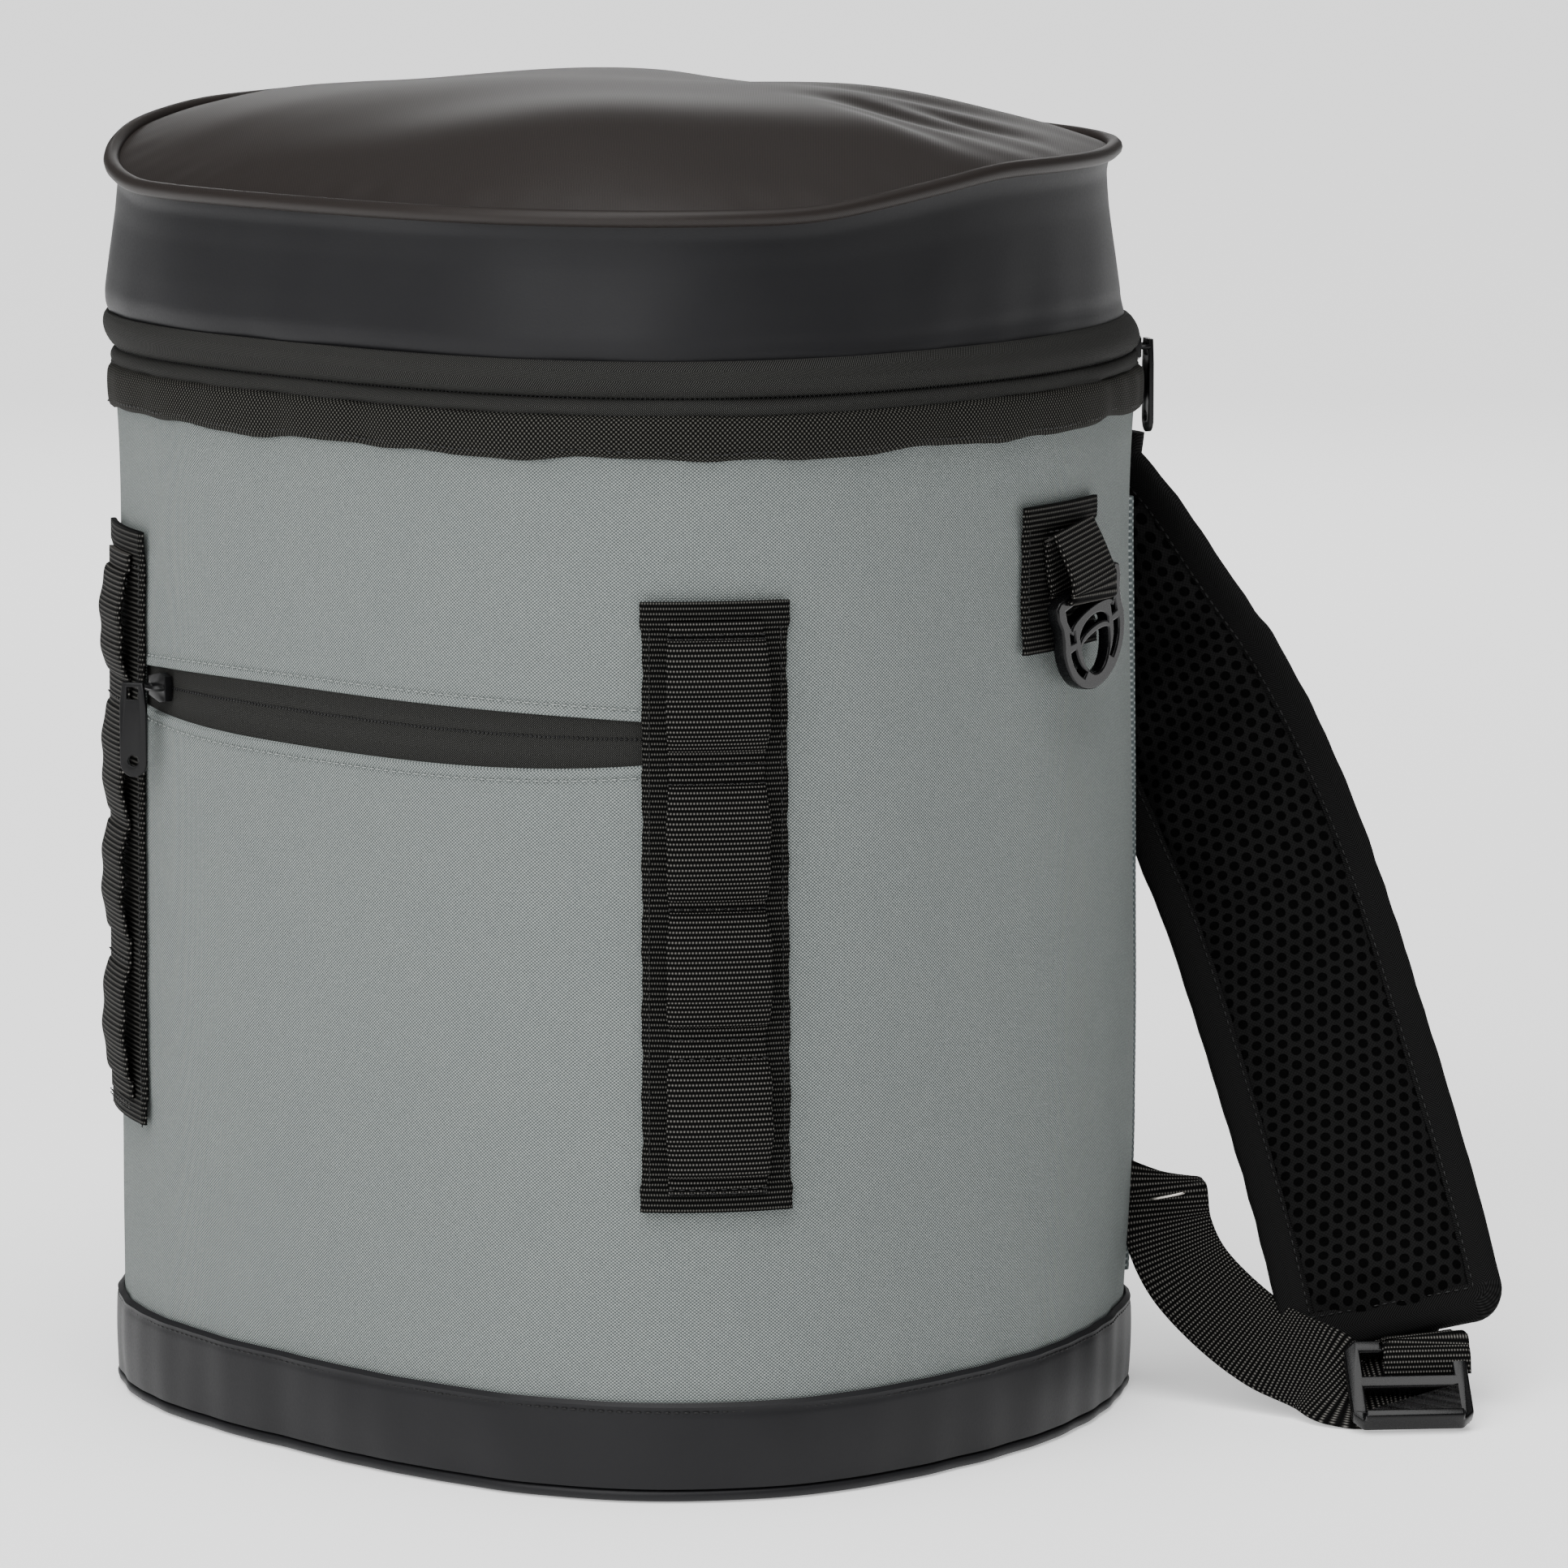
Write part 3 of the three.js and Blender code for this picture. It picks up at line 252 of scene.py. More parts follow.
def patch(name, middle, loop, heights, lift, material, slotName, *cadNodes, width=np.ones_like):
    # Webbing upright on the cloth: loop gives across and out, lift the distance from the cloth
    across, outs = loop[:, 0], loop[:, 1]
    shares = middle + across[None, :] * width(heights)[:, None] / halfLength
    lifts = lift(heights)[:, None] + outs[None, :]
    rows = np.broadcast_to(heights[:, None], lifts.shape)
    points = bagPoint(np.broadcast_to(shares, lifts.shape), rows, lifts)
    steps = np.concatenate([[0], np.cumsum(np.hypot(np.diff(heights), np.diff(lift(heights))))])
    uv = gridUv(steps, np.append(across, across[0]))
    mesh = makeGrid(name, points, uv, tube=True, caps=True)
    return finishPiece(newObject(name, mesh), material, slotName, *cadNodes)


def linear(hexColour):
    channels = [int(hexColour[k:k + 2], 16) / 255 for k in (1, 3, 5)]
    return [c / 12.92 if c <= 0.04045 else ((c + 0.055) / 1.055) ** 2.4 for c in channels] + [1.0]


def addNode(tree, kind, settings=None, inputs=None):
    node = tree.nodes.new(kind)
    for key, value in (settings or {}).items():
        setattr(node, key, value)
    for key, value in (inputs or {}).items():
        if isinstance(value, bpy.types.Node):
            value = next(output for output in value.outputs if output.enabled)
        if isinstance(value, bpy.types.NodeSocket):
            tree.links.new(value, node.inputs[key])
        else:
            node.inputs[key].default_value = value
    return node


def startMaterial(name, settings):
    material = bpy.data.materials.new(name)
    material.use_nodes = True
    tree = material.node_tree
    shader = tree.nodes["Principled BSDF"]
    for key, value in settings.items():
        shader.inputs[key].default_value = value
    return material, tree, shader


maths, vectors = "ShaderNodeMath", "ShaderNodeVectorMath"


def clothThreads(tree, pitchAlong, pitchAcross):
    # The piece's own cloth map, counted in threads
    place = addNode(tree, "ShaderNodeUVMap", {"uv_map": "clothUv"})
    threads = (1 / (pitchAlong * mm), 1 / (pitchAcross * mm), 0)
    return addNode(tree, vectors, {"operation": "MULTIPLY"}, {0: place, 1: threads})


def sineWaves(tree, threads):
    turned = addNode(tree, vectors, {"operation": "SCALE"}, {0: threads, "Scale": math.pi})
    return addNode(tree, vectors, {"operation": "SINE"}, {0: turned})


def plainWeave(tree, threads):
    # 1 on the middle of a warp float, -1 on a weft float
    apart = addNode(tree, "ShaderNodeSeparateXYZ", None, {0: sineWaves(tree, threads)})
    return addNode(tree, maths, {"operation": "MULTIPLY"}, {0: apart.outputs[0], 1: apart.outputs[1]})


def ridges(tree, first, second):
    # Two sets of rounded ridges, each one step apart
    both = addNode(tree, "ShaderNodeCombineXYZ", None, {0: first, 1: second})
    rounded = addNode(tree, vectors, {"operation": "ABSOLUTE"}, {0: sineWaves(tree, both)})
    return addNode(tree, "ShaderNodeSeparateXYZ", None, {0: rounded}).outputs[:2]


def grain(tree, scale, detail=2.0):
    place = addNode(tree, "ShaderNodeTexCoord").outputs["Object"]
    return addNode(tree, "ShaderNodeTexNoise", None, {"Vector": place, "Scale": scale, "Detail": detail})


def dress(tree, shader, height, distance, strength, tones=None, rough=None):
    # The usual end of a material: relief, two tones mixed by a share, roughness that follows a texture
    bump = addNode(tree, "ShaderNodeBump", None, {"Height": height, "Distance": distance * mm, "Strength": strength})
    tree.links.new(bump.outputs[0], shader.inputs["Normal"])
    if tones:
        mixed = addNode(tree, "ShaderNodeMix", {"data_type": "RGBA"}, dict(zip((0, 6, 7), tones)))
        tree.links.new(mixed.outputs[2], shader.inputs["Base Color"])
    if rough:
        uneven = addNode(tree, maths, {"operation": "MULTIPLY_ADD"}, dict(enumerate(rough)))
        tree.links.new(uneven.outputs[0], shader.inputs["Roughness"])


def wovenGrey():
    # 600 denier heather polyester, plain weave: thick matt threads in two greys with light specks where a thread floats
    material, tree, shader = startMaterial("heatherPolyester", {"Roughness": 0.85, "IOR": 1.2})
    threads = clothThreads(tree, 0.5, 0.42)  # 0.45 mm threads, a shade coarser along so that they show
    weave = plainWeave(tree, threads)
    lifted = addNode(tree, maths, {"operation": "MULTIPLY_ADD"}, {0: weave, 1: 0.5, 2: 0.5})
    lifted = addNode(tree, maths, {"operation": "POWER"}, {0: lifted, 1: 1.4})
    woven = addNode(tree, "ShaderNodeMix", {"data_type": "RGBA"}, {0: lifted, 6: linear("#262b2c"), 7: linear("#bcc3bf")})
    cell = addNode(tree, vectors, {"operation": "FLOOR"}, {0: threads})
    speck = addNode(tree, "ShaderNodeTexWhiteNoise", {"noise_dimensions": "2D"}, {"Vector": cell})
    speckShare = addNode(tree, maths, {"operation": "MULTIPLY"}, {0: speck, 1: 0.28})
    speckled = addNode(tree, "ShaderNodeMix", {"data_type": "RGBA"}, {0: speckShare, 6: woven, 7: linear("#666d6d")})
    cloudShare = addNode(tree, maths, {"operation": "MULTIPLY"}, {0: grain(tree, 60.0, 4.0), 1: 0.14})
    edge = addNode(tree, maths, {"operation": "ABSOLUTE"}, {0: weave})
    height = addNode(tree, maths, {"operation": "POWER"}, {0: edge, 1: 0.6})
    height = addNode(tree, maths, {"operation": "MULTIPLY_ADD"}, {0: lifted, 1: 0.5, 2: height})
    dress(tree, shader, height, 0.16, 1.0, (cloudShare, speckled, linear("#525c62")))
    return material


def coatedCloth(name, tone, dark, roughness):
    # Coated polyester, such as tarpaulin: smooth film with a faint grain, satin and slightly uneven
    material, tree, shader = startMaterial(name, {"IOR": 1.3})
    cloud, fine = grain(tree, 35.0, 5.0), grain(tree, 1500.0)
    height = addNode(tree, maths, {"operation": "MULTIPLY_ADD"}, {0: cloud, 1: 3.0, 2: fine})
    dress(tree, shader, height, 0.05, 0.5, (cloud, linear(dark), linear(tone)), (fine, 0.12, roughness - 0.06))
    return material


def twillClothPaintedRibShade():
    # Coated polyester twill: fine diagonal ribs under a satin film, warm black. The rib crowns are painted in the
    # lighter brown and the grooves darker, as painted light and shade on the ribs.
    material, tree, shader = startMaterial("coatedTwillPaintedRibShade", {"IOR": 1.36})
    # 0.4 mm ribs, drawn at 0.6 mm so that they show
    threads = addNode(tree, "ShaderNodeSeparateXYZ", None, {0: clothThreads(tree, 0.6, 0.6)})
    slant = addNode(tree, maths, {"operation": "ADD"}, {0: threads.outputs[0], 1: threads.outputs[1]})
    turned = addNode(tree, maths, {"operation": "MULTIPLY"}, {0: slant, 1: 2 * math.pi})
    wave = addNode(tree, maths, {"operation": "SINE"}, {0: turned})
    rib = addNode(tree, maths, {"operation": "MULTIPLY_ADD"}, {0: wave, 1: 0.5, 2: 0.5})
    # rib picks the lighter brown on the crowns and the darker in the grooves: painted light and shade
    dress(tree, shader, rib, 0.05, 0.35, (rib, linear("#120f0d"), linear("#231c19")), (rib, -0.08, 0.56))
    return material


def herringboneTapePaintedLight(name, stripe, pitch, tone="#434341", dark="#040404"):
    # Woven polyester tape, herringbone twill: slanting ribs that turn over from stripe to stripe. The rib crowns are
    # painted in the light tone and the grooves dark, as painted highlight and painted shade.
    material, tree, shader = startMaterial(name, {"Roughness": 0.72, "IOR": 1.14})
    threads = addNode(tree, "ShaderNodeSeparateXYZ", None, {0: clothThreads(tree, 1.0, 1.0)})
    along, across = threads.outputs[:2]
    folded = addNode(tree, maths, {"operation": "PINGPONG"}, {0: across, 1: stripe})
    slant = addNode(tree, maths, {"operation": "ADD"}, {0: along, 1: folded})
    slant = addNode(tree, maths, {"operation": "DIVIDE"}, {0: slant, 1: pitch})
    cutPlace = addNode(tree, maths, {"operation": "MULTIPLY"}, {0: along, 1: 2.0})
    rib, cut = ridges(tree, slant, cutPlace)
    notched = addNode(tree, maths, {"operation": "MULTIPLY_ADD"}, {0: cut, 1: 0.35, 2: 0.65})
    height = addNode(tree, maths, {"operation": "MULTIPLY"}, {0: rib, 1: notched})
    # share paints the rib crowns light: painted highlight on the black tape, painted shade in the grooves
    share = addNode(tree, maths, {"operation": "POWER"}, {0: height, 1: 2.2})
    dress(tree, shader, height, 0.14, 0.9, (share, linear(dark), linear(tone)))
    return material


def ribbedWebbingPaintedGlints(name, ribPitch, thread, tone="#6c6a66", dark="#050505"):
    # Woven polypropylene webbing: ribs straight across, each a row of short floats. The light tone on the float crowns
    # is a painted glint on the black webbing.
    material, tree, shader = startMaterial(name, {"Roughness": 0.7, "IOR": 1.12})
    threads = addNode(tree, "ShaderNodeSeparateXYZ", None, {0: clothThreads(tree, ribPitch, thread)})
    along, across = threads.outputs[:2]
    row = addNode(tree, maths, {"operation": "FLOOR"}, {0: along})
    staggered = addNode(tree, maths, {"operation": "MULTIPLY_ADD"}, {0: row, 1: 0.5, 2: across})
    rib, dash = ridges(tree, along, staggered)
    rounded = addNode(tree, maths, {"operation": "POWER"}, {0: rib, 1: 0.8})
    notched = addNode(tree, maths, {"operation": "MULTIPLY_ADD"}, {0: dash, 1: 0.45, 2: 0.55})
    height = addNode(tree, maths, {"operation": "MULTIPLY"}, {0: rounded, 1: notched})
    # share lights only the float crowns: painted glint
    share = addNode(tree, maths, {"operation": "POWER"}, {0: height, 1: 8.0})
    dress(tree, shader, height, 0.3, 1.0, (share, linear(dark), linear(tone)))
    return material


def weaveTapePaintedLight(name, pitch, tone="#5c5b56", dark="#030303"):
    # Woven polyester binding, plain weave: staggered dots of thread. Each float crown is painted in the light tone and
    # the rest in the dark tone: painted glint on the thread tops and painted shade between them.
    material, tree, shader = startMaterial(name, {"Roughness": 0.75, "IOR": 1.12})
    weave = plainWeave(tree, clothThreads(tree, pitch, pitch))
    lifted = addNode(tree, maths, {"operation": "MULTIPLY_ADD"}, {0: weave, 1: 0.5, 2: 0.5})
    # share lights only the float crowns: painted glint, with painted shade around it
    share = addNode(tree, maths, {"operation": "POWER"}, {0: lifted, 1: 3.6})
    dress(tree, shader, lifted, 0.16, 0.9, (share, linear(dark), linear(tone)))
    return material


def airMeshPaintedShade():
    # Warp-knitted polyester spacer mesh: rows of six-sided holes between soft raised yarns over black foam. The holes
    # are painted near black as shade in the recesses, the raised yarn a lighter black.
    material, tree, shader = startMaterial("spacerMeshPaintedShade", {"Roughness": 0.85, "IOR": 1.12})
    place = clothThreads(tree, 1.0, 1.0)
    holePitch, lean = 4.2, 0.26  # real hole spacing in millimetres, and how far the rows lean
    turnPerMm = 4 * math.pi / (math.sqrt(3) * holePitch)
    total = 0.0
    for third in range(3):
        turn = third * 2 * math.pi / 3 + lean
        direction = (turnPerMm * math.cos(turn), turnPerMm * math.sin(turn), 0)
        way = addNode(tree, vectors, {"operation": "DOT_PRODUCT"}, {0: place, 1: direction})
        wave = addNode(tree, maths, {"operation": "COSINE"}, {0: way})
        total = addNode(tree, maths, {"operation": "ADD"}, {0: wave, 1: total})
    net = addNode(tree, "ShaderNodeMapRange", {"interpolation_type": "SMOOTHSTEP"}, {0: total, 1: -0.2, 2: 0.9, 3: 1.0, 4: 0.0})
    weave = plainWeave(tree, clothThreads(tree, 0.5, 0.5))
    yarn = addNode(tree, maths, {"operation": "MULTIPLY_ADD"}, {0: weave, 1: 0.25, 2: 0.6})
    # net is 0 in the holes, which take the near-black tone: painted shade in the recesses
    share = addNode(tree, maths, {"operation": "MULTIPLY"}, {0: net, 1: yarn})
    height = addNode(tree, maths, {"operation": "MULTIPLY_ADD"}, {0: yarn, 1: 0.15, 2: net})
    dress(tree, shader, height, 0.7, 1.0, (share, linear("#010101"), linear("#1b1b1b")))
    return material


def mouldedPlastic(name, tone, roughness):
    # Injection-moulded acetal: dense black plastic with a fine spark-eroded grain
    material, tree, shader = startMaterial(name, {"Base Color": linear(tone), "IOR": 1.3})
    fine = grain(tree, 2600.0)
    dress(tree, shader, fine, 0.03, 0.5, rough=(fine, 0.16, roughness - 0.08))
    return material


def enamelledMetal():
    # Die-cast zinc under baked black enamel: hard gloss, slightly uneven
    material, tree, shader = startMaterial("enamelledZinc", {"IOR": 1.3})
    cloud = grain(tree, 700.0, 3.0)
    dress(tree, shader, cloud, 0.02, 0.4, (cloud, linear("#060607"), linear("#0f0f10")), (cloud, 0.2, 0.25))
    return material


def steelWire():
    # Drawn stainless steel wire: bright metal with draw marks
    material, tree, shader = startMaterial("drawnSteel", {"Base Color": linear("#c8c2ba"), "Metallic": 1.0})
    marks = grain(tree, 4000.0)
    dress(tree, shader, marks, 0.01, 0.4, rough=(marks, 0.15, 0.2))
    return material


def sewingThread(name, tone):
    # Bonded polyester sewing thread: twisted, slightly glossy
    material, tree, shader = startMaterial(name, {"Base Color": linear(tone), "Roughness": 0.55, "IOR": 1.4})
    place = addNode(tree, "ShaderNodeTexCoord").outputs["Object"]
    twist = addNode(tree, "ShaderNodeTexWave", {"bands_direction": "DIAGONAL"}, {"Vector": place, "Scale": 900.0}).outputs["Fac"]
    dress(tree, shader, twist, 0.05, 0.5)
    return material


finishes = {
    "grey": wovenGrey(),
    "coated": coatedCloth("coatedPolyester", "#19191b", "#121214", 0.5),
    "lidTwill": twillClothPaintedRibShade(),
    "zipTape": herringboneTapePaintedLight("zipperTapeTwillPaintedLight", 2.6, 0.62),
    "bindTape": weaveTapePaintedLight("wovenBindingPaintedLight", 0.62),
    "edgeTape": herringboneTapePaintedLight("herringboneBindingPaintedLight", 4.6, 0.75, "#1e1e1e", "#040404"),
    "webbing": ribbedWebbingPaintedGlints("ribbedWebbingPaintedGlints", 1.35, 0.8),
    "backing": ribbedWebbingPaintedGlints("backingWebbingPaintedGlints", 1.35, 0.7, "#5c5b57", "#050505"),
    "mesh": airMeshPaintedShade(),
    "plastic": mouldedPlastic("mouldedAcetal", "#060607", 0.26),
    "coil": mouldedPlastic("nylonCoil", "#141415", 0.24),
    "enamel": enamelledMetal(),
    "wire": steelWire(),
    "blackThread": sewingThread("blackThread", "#0b0b0b"),
    "greyThread": sewingThread("greyThread", "#8f9492"),
    "seamCord": weaveTapePaintedLight("greySeamBindingPaintedLight", 0.9, "#b0b7b5", "#4a5152"),
}
print("materials made:", len(finishes))


def stitchTree():
    # Stitches or coil teeth laid along a path, made once and used with different sizes
    tree = bpy.data.node_groups.new("stitchesAlong", "GeometryNodeTree")
    names = (("Path", "NodeSocketGeometry", None), ("Spacing", "NodeSocketFloat", 0.0025), ("Length", "NodeSocketFloat", 0.0018),
             ("Width", "NodeSocketFloat", 0.0006), ("Depth", "NodeSocketFloat", 0.0006), ("Unevenness", "NodeSocketFloat", 0.1),
             ("Seed", "NodeSocketInt", 3), ("Thread", "NodeSocketMaterial", None))
    for label, kind, value in names:
        socket = tree.interface.new_socket(label, in_out="INPUT", socket_type=kind)
        if value is not None:
            socket.default_value = value
    tree.interface.new_socket("Stitches", in_out="OUTPUT", socket_type="NodeSocketGeometry")
    given = addNode(tree, "NodeGroupInput").outputs
    curve = addNode(tree, "GeometryNodeMeshToCurve", None, {0: given["Path"]}).outputs[0]
    spaced = addNode(tree, "GeometryNodeCurveToPoints", {"mode": "LENGTH"}, {"Curve": curve, "Length": given["Spacing"]})
    turned = addNode(tree, "FunctionNodeAlignRotationToVector", {"axis": "X"}, {"Vector": spaced.outputs["Tangent"]}).outputs[0]
    bead = addNode(tree, "GeometryNodeMeshIcoSphere", None, {"Radius": 0.5, "Subdivisions": 1}).outputs[0]
    soft = addNode(tree, "GeometryNodeSetShadeSmooth", None, {0: bead}).outputs[0]
    sizes = addNode(tree, "ShaderNodeCombineXYZ", None, {0: given["Length"], 1: given["Width"], 2: given["Depth"]}).outputs[0]
    least = addNode(tree, "ShaderNodeMath", {"operation": "SUBTRACT"}, {0: 1.0, 1: given["Unevenness"]}).outputs[0]
    most = addNode(tree, "ShaderNodeMath", {"operation": "ADD"}, {0: 1.0, 1: given["Unevenness"]}).outputs[0]
    chance = addNode(tree, "FunctionNodeRandomValue", {"data_type": "FLOAT"}, {2: least, 3: most, "Seed": given["Seed"]}).outputs[1]
    uneven = addNode(tree, "ShaderNodeVectorMath", {"operation": "SCALE"}, {0: sizes, "Scale": chance}).outputs[0]
    laidInputs = {"Points": spaced.outputs["Points"], "Instance": soft, "Rotation": turned, "Scale": uneven}
    laid = addNode(tree, "GeometryNodeInstanceOnPoints", None, laidInputs).outputs[0]
    real = addNode(tree, "GeometryNodeRealizeInstances", None, {0: laid}).outputs[0]
    coloured = addNode(tree, "GeometryNodeSetMaterial", None, {"Geometry": real, "Material": given["Thread"]}).outputs[0]
    addNode(tree, "NodeGroupOutput", None, {0: coloured})
    return tree


stitchesAlong = stitchTree()


def appliedMesh(obj, name):
    bpy.context.view_layer.update()
    made = bpy.data.meshes.new_from_object(obj.evaluated_get(bpy.context.evaluated_depsgraph_get()))
    obj.modifiers.clear()
    made.name = name
    return made


def layStitches(name, paths, sizes, material, slotName, *cadNodes):
    points, edges = [], []
    for path in paths:
        edges += [[len(points) + k, len(points) + k + 1] for k in range(len(path) - 1)]
        points += (np.asarray(path) * mm).tolist()
    mesh = bpy.data.meshes.new(name + "Path")
    mesh.from_pydata(points, edges, [])
    guide = newObject(name + "Path", mesh)
    modifier = guide.modifiers.new("stitches", "NODES")
    modifier.node_group = stitchesAlong
    wanted = {"Spacing": sizes["spacing"] * mm, "Length": sizes["length"] * mm, "Width": sizes["width"] * mm,
              "Depth": sizes["depth"] * mm, "Unevenness": sizes.get("unevenness", 0.1), "Seed": sizes.get("seed", 3), "Thread": material}
    for item in stitchesAlong.interface.items_tree:
        if item.in_out == "INPUT" and item.name in wanted:
            modifier[item.identifier] = wanted[item.name]
    made = appliedMesh(guide, name)
    bpy.data.objects.remove(guide)
    return finishPiece(newObject(name, made), material, slotName, *cadNodes)


def aroundPath(height, out, start=-1.0, end=1.0, step=1.5):
    shares = np.linspace(start, end, max(8, int((end - start) * halfLength / step)))
    return bagPoint(shares, height(shares) if callable(height) else height, out)


pocket = {
    "height": 199.5,
    "opening": 15.0,
    "place": 0.047,
    "reach": 0.262 - 19.3 / halfLength,
    "depth": 1.9,
    "hem": 3.0,
}
ladderSpread = 0.262


def pocketEdges(share):
    closing = 1 - 0.28 * np.clip(np.abs((share - pocket["place"]) / pocket["reach"]), 0, 1.1) ** 3
    return pocket["height"] - 0.62 * pocket["opening"] * closing, pocket["height"] + 0.42 * pocket["opening"] * closing


def makeBody():
    stations = bag["stations"] + 20
    shares = np.arange(stations) / stations * 2 - 1
    low = np.concatenate([[7.5], np.linspace(12, 184, 86)])
    fine = np.linspace(185, 211, 62)
    high = np.linspace(212.5, 283, 40)
    heights = np.concatenate([low, fine, high])
    share, nominal = np.meshgrid(shares, heights, indexing="ij")
    bottom, top = pocketEdges(share)
    plainBottom, plainTop = pocketEdges(np.full(1, pocket["place"]))
    reachDown, reachUp = pocket["height"] - plainBottom, plainTop - pocket["height"]
    away = nominal - pocket["height"]
    squeeze = np.where(away > 0, (top - pocket["height"]) / reachUp, (pocket["height"] - bottom) / reachDown)
    fade = 1 - smooth(np.abs(away), 10, 24)
    height = pocket["height"] + away * (1 + (squeeze - 1) * fade)
    inside = smooth(height, bottom - 0.35, bottom + 0.35) * (1 - smooth(height, top - 0.35, top + 0.35))
    along = 1 - smooth(np.abs(share - pocket["place"]), pocket["reach"] + 0.008, pocket["reach"] + 0.014)
    outs = -pocket["depth"] * inside * along
    fromEdge = np.minimum(np.abs(height - bottom), np.abs(height - top)) * np.where((height > bottom) & (height < top), 9, 1)
    hem = 0.32 * (1 - smooth(fromEdge, pocket["hem"] - 1.2, pocket["hem"])) * (fromEdge < pocket["hem"] + 2)
    groove = -0.22 * np.exp(-((fromEdge - pocket["hem"]) / 0.6) ** 2)
    outs = outs + (hem + groove) * along * (1 - inside)
    outer = bagPoint(share, height, outs)
    under = bagPoint(shares[:, None], np.array([[3.4]]), np.array([[-4.0]]))
    inner = bagPoint(shares[:, None], np.array([[283.0, 200, 100, 16, 11.5]]), np.array([[-8.0, -8, -8, -8, -12]]))
    points = np.concatenate([under, outer, inner], 1)
    upright = np.concatenate([[3.4], heights, 283 + np.array([8.0, 90, 190, 274, 280])])
    uv = gridUv(np.arange(stations + 1) / stations * 2 * halfLength, upright)
    uv[:-1, 1:1 + len(heights), 1] = height
    uv[-1, 1:1 + len(heights), 1] = height[0]
    mesh = makeGrid("bodyCloth", points, uv, ring=True, sideCaps=True)
    return finishPiece(newObject("bodyCloth", mesh), finishes["grey"], "grey_cloth", "body_shell")


body = makeBody()
print("body cloth made")

# Base: coated band with a topstitched upper edge, piping at the floor
base = {"top": 26.5, "bottom": 3.8, "thickness": 1.6, "stitchDrop": 2.4}


def baseSection(share):
    t = np.linspace(0, 1, 22)
    height = base["bottom"] + t * (base["top"] - base["bottom"])
    swell = 0.35 * np.sin(t * math.pi) + 0.3
    groove = -0.35 * np.exp(-((height - (base["top"] - base["stitchDrop"])) / 0.55) ** 2)
    rolled = -1.1 * np.clip((t - 0.96) / 0.04, 0, 1) ** 2
    raw = outlinePlaces(share, height)
    buckle = 0.3 * waves(raw * [1, 1, 0.3], 34, 21) * np.sin(t * math.pi) ** 0.6
    outs = base["thickness"] + swell + groove + rolled + buckle
    lowEdge = np.full_like(share, 0.2)
    outs = np.concatenate([lowEdge, outs, lowEdge], 1)
    heights = np.concatenate([[7.4], height, [base["top"] - 0.2]])
    return outs, np.broadcast_to(heights, outs.shape)


hoop("baseBand", baseSection, finishes["coated"], "coated_cloth", "base_band")


def pipe(out, height, radius, sides=10):
    loop = roundLoop(radius, sides)

    def section(share):
        heights = height(share) if callable(height) else np.full_like(share, height)
        return loop[:, 0][None, :] + out + 0 * share, loop[:, 1][None, :] + heights

    return section


hoop("basePiping", pipe(0.5, 1.95, 1.6), finishes["coated"], "coated_cloth", "base_piping")
nodes["base_panel"].material_slots[0].material = finishes["coated"]

# Binding round the top edge, its lower edge rippled where it was sewn over the thick wall
binding = {"width": 11.5, "thickness": 2.0}


def ripple(share):
    return 0.5 * np.sin(31 * share) + 0.35 * np.sin(57 * share + 1) + 0.2 * np.sin(113 * share + 2)


def bindingSection(share):
    t = np.linspace(0, 1, 14)
    height = 283.2 - binding["width"] * (1 - t) + ripple(share) * (1 - t)
    outs = binding["thickness"] + 0.25 + 0.45 * np.sin(t * math.pi) - 1.3 * np.abs(2 * t - 1) ** 9
    raw = outlinePlaces(share, height)
    outs = outs + 0.28 * waves(raw * [1, 1, 0.25], 15, 31) * (1 - 0.6 * t)
    inner = np.full_like(share, 0.25)
    return np.concatenate([inner, outs, inner], 1), np.concatenate([height[:, :1] + 0.4, height, height[:, -1:] - 0.1], 1)


hoop("topBinding", bindingSection, finishes["bindTape"], "webbing", "binding_band")


# Zipper: two tapes that meet edge to edge over the coil
def tapeSection(low, high, dip, bulge):
    def section(share):
        t = np.linspace(0, 1, 11)
        height = low + t * (high - low) + 0 * share
        raw = outlinePlaces(share, height)
        outs = 0.5 + bulge * np.sin(t * math.pi) ** 0.7 - 0.5 * dip * np.exp(-np.abs(height - bag["zipHeight"]) / 0.6)
        outs = outs + 0.3 * waves(raw * [1, 1, 0.4], 36, 33) * np.sin(t * math.pi)
        back = np.full_like(share, -0.8)
        return np.concatenate([outs, back, back], 1), np.concatenate([height, height[:, -1:], height[:, :1]], 1)
    return section


zipEnd = 0.9
band("zipperTapeLow", -zipEnd, zipEnd, tapeSection(282.6, 287.36, 1.0, 0.9), finishes["zipTape"], "webbing", "zipper_tape_lower")
band("zipperTapeHigh", -zipEnd, zipEnd, tapeSection(287.64, 297.0, 1.0, 1.9), finishes["zipTape"], "webbing", "zipper_tape_upper")
band("hingeCloth", zipEnd, 2 - zipEnd, tapeSection(282.6, 297.0, 0.0, 1.2), finishes["zipTape"], "webbing", "lid_hinge")
coil = {"spacing": 1.27, "length": 0.75, "width": 0.7, "depth": 0.9, "unevenness": 0.03}
layStitches("zipperCoil", [aroundPath(287.5, -0.25, -zipEnd, zipEnd)], coil, finishes["coil"], "zipper_teeth", "zipper_coil")

